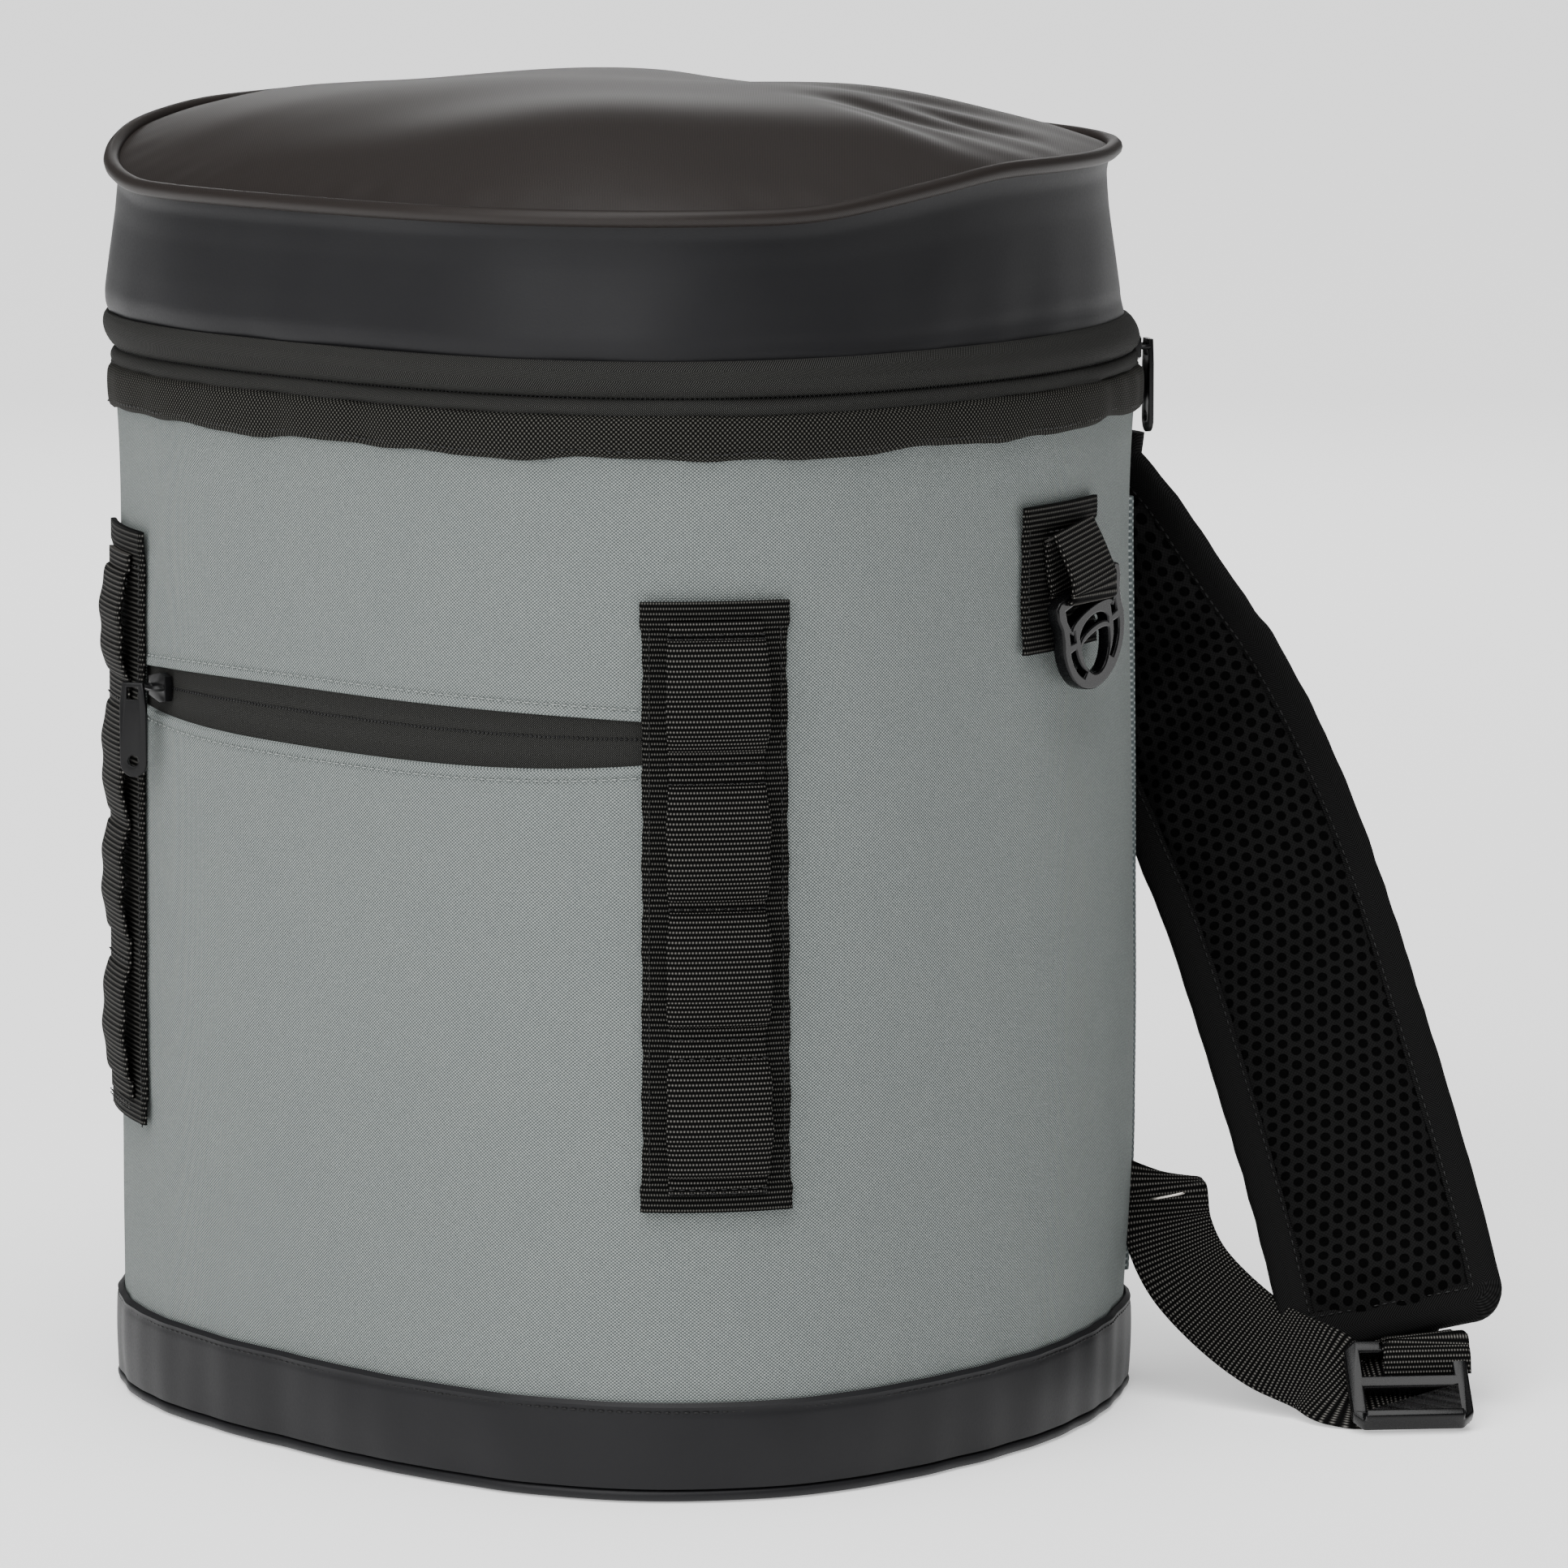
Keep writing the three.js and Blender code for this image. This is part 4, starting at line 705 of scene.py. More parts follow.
# Lid: band, rim piping and the domed top
lid = {
    "bandHeight": 38.0,
    "rimRise": 12.0,
    "dome": 27.0,
    "rimShares": [-1, -0.8, -0.55, -0.42, -0.34, -0.26, -0.18, 0.38, 0.54, 0.7, 1],
    "rimRises": [1.1, 1.45, 1.45, 1.3, 0.95, 0.35, -0.02, 0, 0.7, 0.65, 1.1],
    "pipingRadius": 2.2,
    "pipingOut": -2.4,
}
rimPlaces = np.linspace(-1, 1, 801)
rimKernel = np.hanning(41) / np.hanning(41).sum()
rimTable = np.interp(rimPlaces, lid["rimShares"], lid["rimRises"])
rimTable = np.convolve(np.concatenate([rimTable[-21:-1], rimTable, rimTable[1:21]]), rimKernel, "valid")


def rimHeight(share):
    rise = np.interp(np.mod(np.asarray(share) + 1, 2) - 1, rimPlaces, rimTable)
    return bag["seamHeight"] + lid["bandHeight"] + lid["rimRise"] * rise


def lidSection(share):
    t = np.linspace(0, 1, 34)
    top = rimHeight(share) - lid["pipingRadius"] + 0.4
    low = 294.2 + 0.5 * np.sin(23 * share) + 0.3 * np.sin(51 * share + 2)
    height = low + t * (top - low)
    outs = np.interp(t, [0, 0.03, 0.1, 0.22, 0.42, 0.7, 0.9, 1], [-1.8, -0.9, -0.4, -0.6, -1.6, -3.2, -4.0, -3.4])[None, :]
    raw = outlinePlaces(share, height)
    middle = np.sin(t * math.pi) ** 0.5
    outs = outs + 0.7 * waves(raw * [1, 1, 0.7], 78, 41) * middle + 0.32 * waves(raw * [1, 1, 0.3], 24, 43) * (1 - t) ** 2
    inner = np.full_like(share, -9.0)
    return np.concatenate([outs, inner, inner], 1), np.concatenate([height, height[:, -1:], height[:, :1]], 1)


lidBand = hoop("lidBand", lidSection, finishes["coated"], "coated_cloth", "lid_band")
hoop("rimPiping", pipe(lid["pipingOut"], lambda share: rimHeight(share), lid["pipingRadius"], 12), finishes["lidTwill"], "lid_cloth", "rim_piping")

folds = [
    {"share": 0.56, "spread": 0.018, "depth": 1.6, "reach": 0.5},
    {"share": 0.61, "spread": 0.022, "depth": 2.6, "reach": 0.62},
    {"share": 0.67, "spread": 0.02, "depth": 2.2, "reach": 0.5},
    {"share": 0.74, "spread": 0.028, "depth": 2.4, "reach": 0.7},
    {"share": -0.58, "spread": 0.05, "depth": 1.6, "reach": 0.5},
    {"share": 0.9, "spread": 0.05, "depth": 1.0, "reach": 0.5},
]


def makeLidTop():
    stations = bag["stations"]
    shares = (np.arange(stations) / stations * 2 - 1)[:, None]
    inward = np.concatenate([np.linspace(0, 0.1, 14), np.linspace(0.1, 1, 46)[1:]])[None, :]
    rim = rimHeight(shares)
    edge = bagPoint(shares[:, 0], rim[:, 0], lid["pipingOut"] - 1.4)
    crown = bag["seamHeight"] + lid["bandHeight"] + lid["dome"]
    rise = 1 - (1 - inward) ** 3
    height = rim + (crown - rim) * rise
    for fold in folds:
        away = (shares - fold["share"] + 1) % 2 - 1
        fade = np.sin(math.pi * np.clip(inward / fold["reach"], 0, 1)) ** 2
        height = height - fold["depth"] * fade * np.exp(-(away / (fold["spread"] * (1 + inward))) ** 2)
    x, y = edge[:, None, 0] * (1 - inward), edge[:, None, 1] * (1 - inward)
    raw = np.stack([x, y, 0 * x + 340], -1)
    height = height + 0.9 * waves(raw, 85, 51) * smooth(inward, 0, 0.3)
    around = np.stack([edge[:, None, 0] + 0 * inward, edge[:, None, 1] + 0 * inward, 60 * inward + 0 * x], -1)
    height = height + 0.14 * waves(around, 16, 52) * np.exp(-((inward - 0.05) / 0.045) ** 2)
    over = np.stack([x, y, height], -1)
    under = np.stack([x[:, ::-9], y[:, ::-9], height[:, ::-9] - 5.5], -1)
    points = np.concatenate([over, under], 1)
    uv = points[..., :2]
    uv = np.concatenate([uv, uv[:, :1]], 1)
    uv = np.concatenate([uv, uv[:1]], 0)
    mesh = makeGrid("lidTop", points, uv, ring=True, tube=True)
    joined = bmesh.new()
    joined.from_mesh(mesh)
    bmesh.ops.remove_doubles(joined, verts=joined.verts, dist=1e-6)
    bmesh.ops.delete(joined, geom=[edge for edge in joined.edges if not edge.link_faces], context="EDGES")
    bmesh.ops.recalc_face_normals(joined, faces=joined.faces)
    joined.to_mesh(mesh)
    joined.free()
    return finishPiece(newObject("lidTop", mesh), finishes["lidTwill"], "lid_cloth", "lid_top")


lidTop = makeLidTop()
print("lid made")


# Front pocket's zipper, let into the cloth
def pocketSection(share):
    bottom, top = pocketEdges(share)
    t = np.linspace(0, 1, 17)
    height = bottom - 1.2 + t * (top - bottom + 2.4)
    outs = -1.05 - 0.55 * np.exp(-np.abs(height - pocket["height"]) / 0.5)
    back = np.full_like(share, -1.8)
    return np.concatenate([outs, back, back], 1), np.concatenate([height, height[:, -1:], height[:, :1]], 1)


reach = pocket["reach"] + 0.009
pocketStart, pocketEnd = pocket["place"] - reach, pocket["place"] + reach
band("pocketTape", pocketStart, pocketEnd, pocketSection, finishes["zipTape"], "webbing", "pocket_tape")
layStitches("pocketCoil", [aroundPath(pocket["height"], -1.2, pocketStart, pocketEnd)], coil, finishes["coil"], "zipper_teeth", "pocket_coil")

# Webbing ladders: backing with turned edges and a strip that is tacked down between its loops
ladder = {
    "bottom": 76.0, "top": 233.0, "margin": 5.0, "backing": 38.0, "backingThickness": 1.6, "web": 25.0, "webThickness": 1.5,
    "tacks": [81.0, 119.8, 155.4, 191.1, 228.0],
    "flats": [3.5, 4.2, 1.2, 4.2, 3.5],
    "bulges": [5.2, 5.6, 5.0, 6.0],
}


def ladderLift(heights, fullness=1.0):
    lift = np.full_like(heights, 2.2 + ladder["webThickness"] / 2)
    for k, bulge in enumerate(ladder["bulges"]):
        low, high = ladder["tacks"][k] + ladder["flats"][k], ladder["tacks"][k + 1] - ladder["flats"][k + 1]
        t = np.clip((heights - low) / (high - low), 0, 1)
        lift = lift + fullness * bulge * np.sin(math.pi * t) ** 0.42 * (0.88 + 0.12 * np.cos(5 * math.pi * t + k))
    return lift


def backingLift(heights):
    fold = smooth(np.abs(heights - (heights[0] + heights[-1]) / 2), (heights[-1] - heights[0]) / 2 - 7, (heights[-1] - heights[0]) / 2 - 6)
    return 0.35 + ladder["backingThickness"] / 2 + 0.7 * fold


def hemWidth(heights):
    fold = smooth(np.abs(heights - (heights[0] + heights[-1]) / 2), (heights[-1] - heights[0]) / 2 - 7, (heights[-1] - heights[0]) / 2 - 6)
    return 1 + 0.03 * fold + 0.008 * np.sin(heights * 0.31) + 0.006 * np.sin(heights * 0.83 + 1)


def webWidth(heights):
    atTack = sum(np.exp(-((heights - tack) / 6) ** 2) for tack in ladder["tacks"])
    return 1 - 0.03 * atTack + 0.008 * np.sin(heights * 0.4)


for side, name in ((1, "right"), (-1, "left")):
    middle = pocket["place"] + side * ladderSpread - (0.003 if side > 0 else 0)
    wide = webLoop(ladder["backing"], ladder["backingThickness"], 17, 0.3)
    lifted = 1.5 if side > 0 else 4.5
    heights = np.linspace(ladder["bottom"] + 0.5 * lifted, ladder["top"] + 1.6 * lifted, 150)
    patch("ladderBacking" + name.title(), middle, wide, heights, backingLift, finishes["backing"], "webbing",
          "ladder_backing_" + name, width=hemWidth)
    heights = np.linspace(ladder["bottom"] + ladder["margin"] - 1, ladder["top"] - ladder["margin"] + 1, 300) + lifted
    strip = webLoop(ladder["web"], ladder["webThickness"], 13, 0.15)
    fullness = 1 if side > 0 else 0.5
    patch("ladderWebbing" + name.title(), middle, strip, heights, lambda h: ladderLift(h - lifted, fullness), finishes["webbing"], "webbing",
          "ladder_webbing_" + name, width=webWidth)
print("webbing ladders made")


def roundedCopy(name, cadNode, material, slotName, bevel=0.35, angle=32, shift=(0, 0, 0), turn=0):
    mesh = nodes[cadNode].data.copy()
    mesh.name = name
    middle = sum((Vector(v.co) for v in mesh.vertices), Vector()) / len(mesh.vertices)
    mesh.transform(Matrix.Translation(Vector(shift) * mm + middle) @ Matrix.Rotation(math.radians(turn), 4, "Z") @ Matrix.Translation(-middle))
    merged = bmesh.new()
    merged.from_mesh(mesh)
    bmesh.ops.remove_doubles(merged, verts=merged.verts, dist=1e-6)
    bmesh.ops.dissolve_limit(merged, angle_limit=math.radians(2), verts=merged.verts, edges=merged.edges)
    merged.to_mesh(mesh)
    merged.free()
    obj = newObject(name, mesh)
    modifier = obj.modifiers.new("rounding", "BEVEL")
    modifier.width = bevel * mm
    modifier.segments = 3
    modifier.limit_method = "ANGLE"
    modifier.angle_limit = math.radians(angle)
    modifier.use_clamp_overlap = True
    rounded = appliedMesh(obj, name)
    obj.data = rounded
    rounded.shade_smooth()
    rounded.set_sharp_from_angle(angle=math.radians(38))
    return finishPiece(obj, material, slotName, cadNode)


for cadNode in ("lid_slider_front", "lid_slider_rear", "pocket_slider"):
    roundedCopy(cadNode.title().replace("_", ""), cadNode, finishes["enamel"], "slider_metal", 0.3)
# Each pull hangs a little out of line, as it was let go
pulls = (
    ("lid_pull_front", (-1.2, -1.2, 0.5), 8),
    ("lid_pull_rear", (-1.6, -1.0, 1.5), -6),
    ("pocket_pull", (-1.3, -2.2, 0), 42),
)
for cadNode, shift, turn in pulls:
    roundedCopy(cadNode.title().replace("_", ""), cadNode, finishes["enamel"], "slider_metal", 0.25, shift=shift, turn=turn)
for side in ("right", "left"):
    roundedCopy("ladderLock" + side.title(), "ladder_lock_" + side, finishes["plastic"], "moulded_plastic", 0.7)

# Side rings: tab of webbing on a sewn patch, with a moulded ring that has an inner ring of its own
ring = {"place": 0.591, "patchTop": 253.0, "patchHeight": 39.0, "tabTop": 247.0, "tabDrop": 17.0, "standOff": 6.4, "width": 36.0, "height": 29.0}


def placeAxes(share, height, out):
    x, y, nx, ny = (float(v) for v in outlineAt(share))
    outward = np.array([nx, ny, 0]) / math.hypot(nx, ny)
    up = np.array([0.0, 0, 1])
    along = np.cross(up, outward)
    return bagPoint(share, height, out).reshape(3), along, up, outward


def catmull(points, t):
    # Centripetal curve through the points, t from 0 to 1
    points = np.asarray(points, float)
    place = t * (len(points) - 1)
    i = min(int(place), len(points) - 2)
    w = place - i
    p1, p2 = points[i], points[i + 1]
    p0 = points[i - 1] if i > 0 else 2 * p1 - p2
    p3 = points[i + 2] if i + 2 < len(points) else 2 * p2 - p1
    d0, d1, d2 = (max(np.linalg.norm(b - a), 1e-6) ** 0.5 for a, b in ((p0, p1), (p1, p2), (p2, p3)))
    m1 = ((p1 - p0) / d0 - (p2 - p0) / (d0 + d1) + (p2 - p1) / d1) * d1
    m2 = ((p2 - p1) / d1 - (p3 - p1) / (d1 + d2) + (p3 - p2) / d2) * d1
    return p1 + m1 * w + (3 * (p2 - p1) - 2 * m1 - m2) * w * w + (2 * (p1 - p2) + m1 + m2) * w ** 3


def routeFrame(stations, t):
    points = [s[0] for s in stations]
    at = catmull(points, t)
    run = catmull(points, min(1, t + 1e-4)) - catmull(points, max(0, t - 1e-4))
    run /= np.linalg.norm(run)
    place = t * (len(stations) - 1)
    i = min(int(place), len(stations) - 2)
    wide = stations[i][1] + (stations[i + 1][1] - stations[i][1]) * (place - i)
    wide = wide - run * (wide @ run)
    wide /= np.linalg.norm(wide)
    return at, run, wide, np.cross(run, wide)


def strapPiece(name, stations, loop, steps, material, slotName, *cadNodes, start=0.0, end=1.0):
    ts = np.linspace(start, end, steps + 1)
    rows, length = [], [0.0]
    before = None
    for t in ts:
        at, run, wide, normal = routeFrame(stations, t)
        rows.append(at + loop[:, :1] * wide + loop[:, 1:] * normal)
        if before is not None:
            length.append(length[-1] + np.linalg.norm(at - before))
        before = at
    across = np.append(loop[:, 0], loop[0, 0])
    mesh = makeGrid(name, np.array(rows), gridUv(np.array(length), across), tube=True, caps=True)
    obj = finishPiece(newObject(name, mesh), material, slotName, *cadNodes)
    return obj, length[-1]


def ringCurve(outlines, depth, bevel):
    # Flat plate with holes, rounded all over
    curve = bpy.data.curves.new("ringCurve", "CURVE")
    curve.dimensions = "2D"
    curve.fill_mode = "BOTH"
    curve.extrude = depth / 2 - bevel
    curve.bevel_depth = bevel
    curve.bevel_resolution = 3
    curve.offset = -bevel
    for outline in outlines:
        spline = curve.splines.new("POLY")
        spline.points.add(len(outline) - 1)
        for point, (x, y) in zip(spline.points, outline):
            point.co = (x, y, 0, 1)
        spline.use_cyclic_u = True
    obj = newObject("ringCurve", curve)
    bpy.context.view_layer.update()
    mesh = bpy.data.meshes.new_from_object(obj.evaluated_get(bpy.context.evaluated_depsgraph_get()))
    bpy.data.objects.remove(obj)
    return mesh


def ringOutlines():
    # Outer edge and holes of the moulded ring, its bar at the top
    turn = np.linspace(0, math.pi, 40)

    def arc(halfWidth, middle, rise, start=0.0, end=math.pi, steps=24):
        a = np.linspace(start, end, steps)
        return np.stack([halfWidth * np.cos(a), middle + rise * np.sin(a)], -1)

    low = np.stack([-16.8 * np.cos(turn), -12 - 15.4 * np.sin(turn) ** 0.96], -1)
    leftShoulder = [[15.6, 1.7], [-15.6, 1.7], [-17.4, 0.6], [-17.6, -2.5], [-16.2, -6], [-16.2, -9]]
    rightShoulder = [[16.2, -9], [16.2, -6], [17.6, -2.5], [17.4, 0.6]]
    outer = np.concatenate([leftShoulder, low, rightShoulder])
    slot = np.concatenate([[[-13.4, -1.6], [13.4, -1.6], [13.2, -4.4]], arc(11.5, -7.6, 2.6), [[-13.2, -4.4]]])
    crescent = np.concatenate([arc(8.2, -12.4, 4.6, 0.25, math.pi - 0.25), arc(8.0, -12.6, 2.2, math.pi - 0.25, 0.25)])
    eye = np.concatenate([arc(7.6, -14.4, 1.8)[:-1], arc(7.6, -14.4, 9.2, math.pi, 2 * math.pi)[:-1]])
    holes = [outer, slot, crescent, eye]
    for sign in (1, -1):
        a = np.linspace(0.04, 0.92, 14)
        outside = np.stack([sign * 13.4 * np.cos(a), -13 - 11.6 * np.sin(a)], -1)
        inside = np.stack([sign * 10.6 * np.cos(a[::-1]), -13 - 10.4 * np.sin(a[::-1])], -1)
        holes.append(np.concatenate([outside, inside]))
        holes.append(np.array([[10.2, -8.6], [12.9, -8.2], [12.9, -10.9], [10.4, -11.1]]) * [sign, 1])
    return holes


for side, name in ((1, "right"), (-1, "left")):
    middle = side * ring["place"]
    heights = np.linspace(ring["patchTop"] - ring["patchHeight"], ring["patchTop"], 30)
    patch("ringPatch" + name.title(), middle, webLoop(38, 1.6, 17, 0.3), heights, backingLift, finishes["backing"], "webbing",
          "ring_patch_" + name, width=hemWidth)
    at, along, up, outward = placeAxes(middle, ring["tabTop"] - ring["tabDrop"], ring["standOff"])
    mesh = ringCurve([o * mm for o in ringOutlines()], 3.6 * mm, 0.55 * mm)
    co = np.empty(len(mesh.vertices) * 3)
    mesh.vertices.foreach_get("co", co)
    co = co.reshape(-1, 3)
    swing = math.radians(15)
    at = at + 2.6 * along
    px = co[:, :1] * math.cos(swing) - co[:, 1:2] * math.sin(swing)
    py = co[:, :1] * math.sin(swing) + co[:, 1:2] * math.cos(swing)
    placed = at * mm + px * along + py * up + co[:, 2:] * outward
    mesh.vertices.foreach_set("co", placed.ravel())
    mesh.shade_smooth()
    mesh.set_sharp_from_angle(angle=math.radians(50))
    mesh.name = "sideRing" + name.title()
    finishPiece(newObject(mesh.name, mesh), finishes["plastic"], "moulded_plastic", "d_ring_" + name)
    clear, under, seat = 3.2, 2.6, 2.6 - ring["standOff"]
    behind = min(-clear, seat + 1.8)
    drop = ring["tabDrop"]
    local = [(drop, seat + 1.8), (drop * 0.55, clear * 0.4), (drop * 0.2, clear), (0, clear), (-under * 0.96, clear * 0.96),
             (-under * 1.05, 0), (-under * 0.96, -clear * 0.96), (0, behind), (drop * 0.3, seat), (drop * 0.9, seat)]
    stations = [(at + up * y + outward * z - along * 2.6 * min(1, max(0, y) / drop), along) for y, z in local]
    strapPiece("ringTab" + name.title(), stations, webLoop(24, 1.5, 11, 0.12), 90, finishes["webbing"], "webbing", "ring_tab_" + name)
print("side rings made")


back = {"yokeTop": 269.0, "yokeHeight": 24.0, "yokeThickness": 1.8, "yokeEnd": 0.79, "seam": 0.8, "seamRadius": 2.2}


def yokeSection(share):
    t = np.linspace(0, 1, 14)
    height = back["yokeTop"] - back["yokeHeight"] * (1 - t) + 0 * share
    outs = 0.3 + back["yokeThickness"] * (1 - np.abs(2 * t - 1) ** 10) + 0 * share
    inner = np.full_like(share, 0.2)
    return np.concatenate([outs, inner, inner], 1), np.concatenate([height, height[:, -1:], height[:, :1]], 1)


band("backYoke", back["yokeEnd"], 2 - back["yokeEnd"], yokeSection, finishes["webbing"], "webbing", "back_yoke")
for side, name in ((1, "right"), (-1, "left")):
    heights = np.linspace(29, 245, 150)
    loop = roundLoop(back["seamRadius"], 12)
    loop = np.stack([loop[:, 0], loop[:, 1] + 0.3 + back["seamRadius"]], -1)
    patch("backSeam" + name.title(), side * back["seam"], loop, heights, np.zeros_like, finishes["seamCord"], "grey_cloth",
          "back_seam_" + name)

pad = {"width": 62.0, "thickness": 11.0, "binding": 9.5, "edge": 4.0, "anchorHeight": 263.0, "spread": 50.0, "endHeight": 21.0, "seat": 7.5}
# Down the strap: how far down, how far bowed, how far turned
strapForm = [
    (0, 0, 0), (0.06, 0, 0), (0.16, 0.28, 0.2), (0.29, 0.72, 0.55), (0.41, 0.94, 0.8),
    (0.54, 1, 1), (0.7, 0.76, 1), (0.86, 0.38, 1), (1, 0, 1),
]
strapSides = {
    "right": {"side": 1, "endOut": 165, "endBehind": 14, "bow": 25, "bowOut": -5, "twist": 46,
              "nudges": [0, -1, -3, -3.5, -3, -2, 0.5, 4, 5.5], "drops": [0, 0, 0, 0, 0, 0, -1, -2, -1.5]},
    "left": {"side": -1, "endOut": 200, "endBehind": -70, "bow": 62, "bowOut": 26, "twist": 50,
             "nudges": [0] * 9, "drops": [0] * 9},
}
# The photograph's own right, along which the strap is set straight
photoRight = np.array([0.687, 0.727, 0])


def padStations(strap):
    stations = []
    for (down, bow, turn), nudge, drop in zip(strapForm, strap["nudges"], strap["drops"]):
        seated = down <= 0.06
        out = pad["spread"] if seated else pad["spread"] + (strap["endOut"] - pad["spread"]) * down + strap["bowOut"] * bow
        behind = pad["seat"] if seated else pad["seat"] + (strap["endBehind"] - pad["seat"]) * down + strap["bow"] * bow
        twist = math.radians(strap["twist"] * turn)
        at = np.array([strap["side"] * out, bag["backDepth"] + behind, pad["anchorHeight"] + (pad["endHeight"] - pad["anchorHeight"]) * down])
        at = at + nudge * photoRight + np.array([0, 0, drop])
        stations.append((at, np.array([strap["side"] * math.cos(twist), math.sin(twist), 0])))
    return stations


def padLoop(halfWidth, thin, thick, steps=13):
    across = np.sin(np.linspace(-1, 1, steps) * math.pi / 2 * 0.98) * halfWidth
    crown = thin + (thick - thin) * (1 - (np.abs(across) / halfWidth) ** 4)
    return np.concatenate([np.stack([across, crown], -1), np.stack([across[::-1], -crown[::-1]], -1)])


def swell(obj, pinned, pressure=4.0, most=2.4):
    # Cloth under slight pressure, with its sewn edges held
    mesh = obj.data
    rest = np.empty(len(mesh.vertices) * 3)
    mesh.vertices.foreach_get("co", rest)
    group = obj.vertex_groups.new(name="sewn")
    for index, weight in enumerate(pinned):
        group.add([index], float(weight), "REPLACE")
    modifier = obj.modifiers.new("padding", "CLOTH")
    settings = modifier.settings
    settings.quality = 6
    settings.mass = 0.3
    settings.tension_stiffness = 22
    settings.compression_stiffness = 12
    settings.bending_stiffness = 1.2
    settings.vertex_group_mass = "sewn"
    settings.use_pressure = True
    settings.uniform_pressure_force = pressure
    settings.shrink_min = -0.03
    settings.effector_weights.gravity = 0
    modifier.collision_settings.use_collision = False
    modifier.point_cache.frame_start = 1
    modifier.point_cache.frame_end = 20
    scene = bpy.context.scene
    for number in range(1, 21):
        scene.frame_set(number)
    evaluated = obj.evaluated_get(bpy.context.evaluated_depsgraph_get())
    moved = np.empty(len(mesh.vertices) * 3)
    evaluated.data.vertices.foreach_get("co", moved)
    obj.modifiers.clear()
    scene.frame_set(1)
    step = (moved - rest).reshape(-1, 3)
    size = np.linalg.norm(step, axis=1, keepdims=True)
    step *= np.minimum(1, most * mm / np.maximum(size, 1e-9))
    mesh.vertices.foreach_set("co", (rest.reshape(-1, 3) + step).ravel())
    mesh.update()


def subdivide(obj, levels=1):
    modifier = obj.modifiers.new("smooth", "SUBSURF")
    modifier.levels = levels
    modifier.render_levels = levels
    finer = appliedMesh(obj, obj.data.name)
    obj.data = finer
    finer.shade_smooth()


def makePad(name):
    strap = strapSides[name]
    stations = padStations(strap)
    title = name.title()
    inner = pad["width"] / 2 - pad["binding"]
    loop = padLoop(inner + 0.8, pad["edge"] / 2 - 0.4, pad["thickness"] / 2 - 0.8, 15)
    steps = 110
    rows, length, before = [], [0.0], None
    for t in np.linspace(0, 0.985, steps + 1):
        at, run, wide, normal = routeFrame(stations, t)
        end = 1 - smooth(t, 0.93, 0.985) * 0.55
        rows.append(at + loop[:, :1] * wide + loop[:, 1:] * end * normal)
        if before is not None:
            length.append(length[-1] + np.linalg.norm(at - before))
        before = at
    points = np.array(rows)
    seed = 61 if name == "right" else 62
    lowPart = smooth(np.linspace(0, 1, steps + 1), 0.5, 0.75)[:, None]
    wrinkle = waves(points, 28, seed) + lowPart * (1.1 * waves(points * [1, 1, 1.8], 44, seed + 4) + 0.5 * waves(points * [1, 1, 2.5], 18, seed + 8))
    facing = np.sign(loop[:, 1])
    normals = np.array([routeFrame(stations, t)[3] for t in np.linspace(0, 0.985, steps + 1)])
    middle = 1 - (np.abs(loop[:, 0]) / (inner + 0.8)) ** 6
    points = points + (wrinkle * middle * facing * 0.62)[..., None] * normals[:, None, :]
    across = np.append(loop[:, 0], loop[0, 0])
    mesh = makeGrid("shoulderPad" + title, points, gridUv(np.array(length), across), tube=True, caps=True)
    obj = newObject("shoulderPad" + title, mesh)
    pins = np.tile((np.abs(loop[:, 0]) > inner - 1.5).astype(float), steps + 1)
    pins[:len(loop) * 2] = 1
    pins[-len(loop) * 2:] = 1
    swell(obj, pins)
    subdivide(obj)
    finishPiece(obj, finishes["mesh"], "mesh_cloth", "shoulder_pad_" + name)
    # Binding: down one edge, round the foot with soft corners, and up the other
    half, corner = pad["width"] / 2, 9.0
    total = length[-1] / 0.985
    down = np.linspace(0, total - corner, 100)
    bend = np.linspace(0, math.pi / 2, 9)[1:]
    path = [(-half, d, 1.0, 0.0) for d in down]
    path += [(-half + corner - corner * math.cos(b), total - corner + corner * math.sin(b), math.cos(b), -math.sin(b)) for b in bend]
    path += [(a, total, 0.0, -1.0) for a in np.linspace(-half + corner, half - corner, 12)[1:]]
    path += [(half - corner + corner * math.sin(b), total - corner + corner * math.cos(b), -math.sin(b), -math.cos(b)) for b in bend]
    path += [(half, d, -1.0, 0.0) for d in down[::-1]]
    halfSection = [(0.25, 1.3), (1.2, 2.1), (3.5, 2.45), (7.5, 2.5), (9.2, 2.35), (9.6, 1.6)]
    section = [(0.0, 0.0)] + halfSection + [(inward, -deep) for inward, deep in halfSection[::-1]]
    rows, stitchPaths = [], [[], []]
    for acrossPlace, d, inX, inD in path:
        row = []
        for inward, deep in section:
            at, run, wide, normal = routeFrame(stations, min(1.0, max(0.0, (d + inD * inward) / total)))
            row.append(at + (acrossPlace + inX * inward) * wide + deep * normal)
        rows.append(row)
        at, run, wide, normal = routeFrame(stations, min(1.0, max(0.0, (d + inD * 8.2) / total)))
        for k, sign in enumerate((1, -1)):
            stitchPaths[k].append(at + (acrossPlace + inX * 8.2) * wide + sign * 2.6 * normal)
    points = np.array(rows)
    points = points + 0.22 * waves(points, 12, 71)[..., None] * [0.4, 0.4, 0.4]
    along = np.concatenate([[0], np.cumsum(np.linalg.norm(np.diff(points[:, 4], axis=0), axis=1))])
    widths = np.array([s[0] if s[1] >= 0 else 9.6 + 9.6 - s[0] for s in section] + [19.2])
    mesh = makeGrid("padBinding" + title, points, gridUv(along, widths), tube=True, caps=True)
    finishPiece(newObject("padBinding" + title, mesh), finishes["edgeTape"], "webbing", "shoulder_binding_" + name)
    return stations, stitchPaths


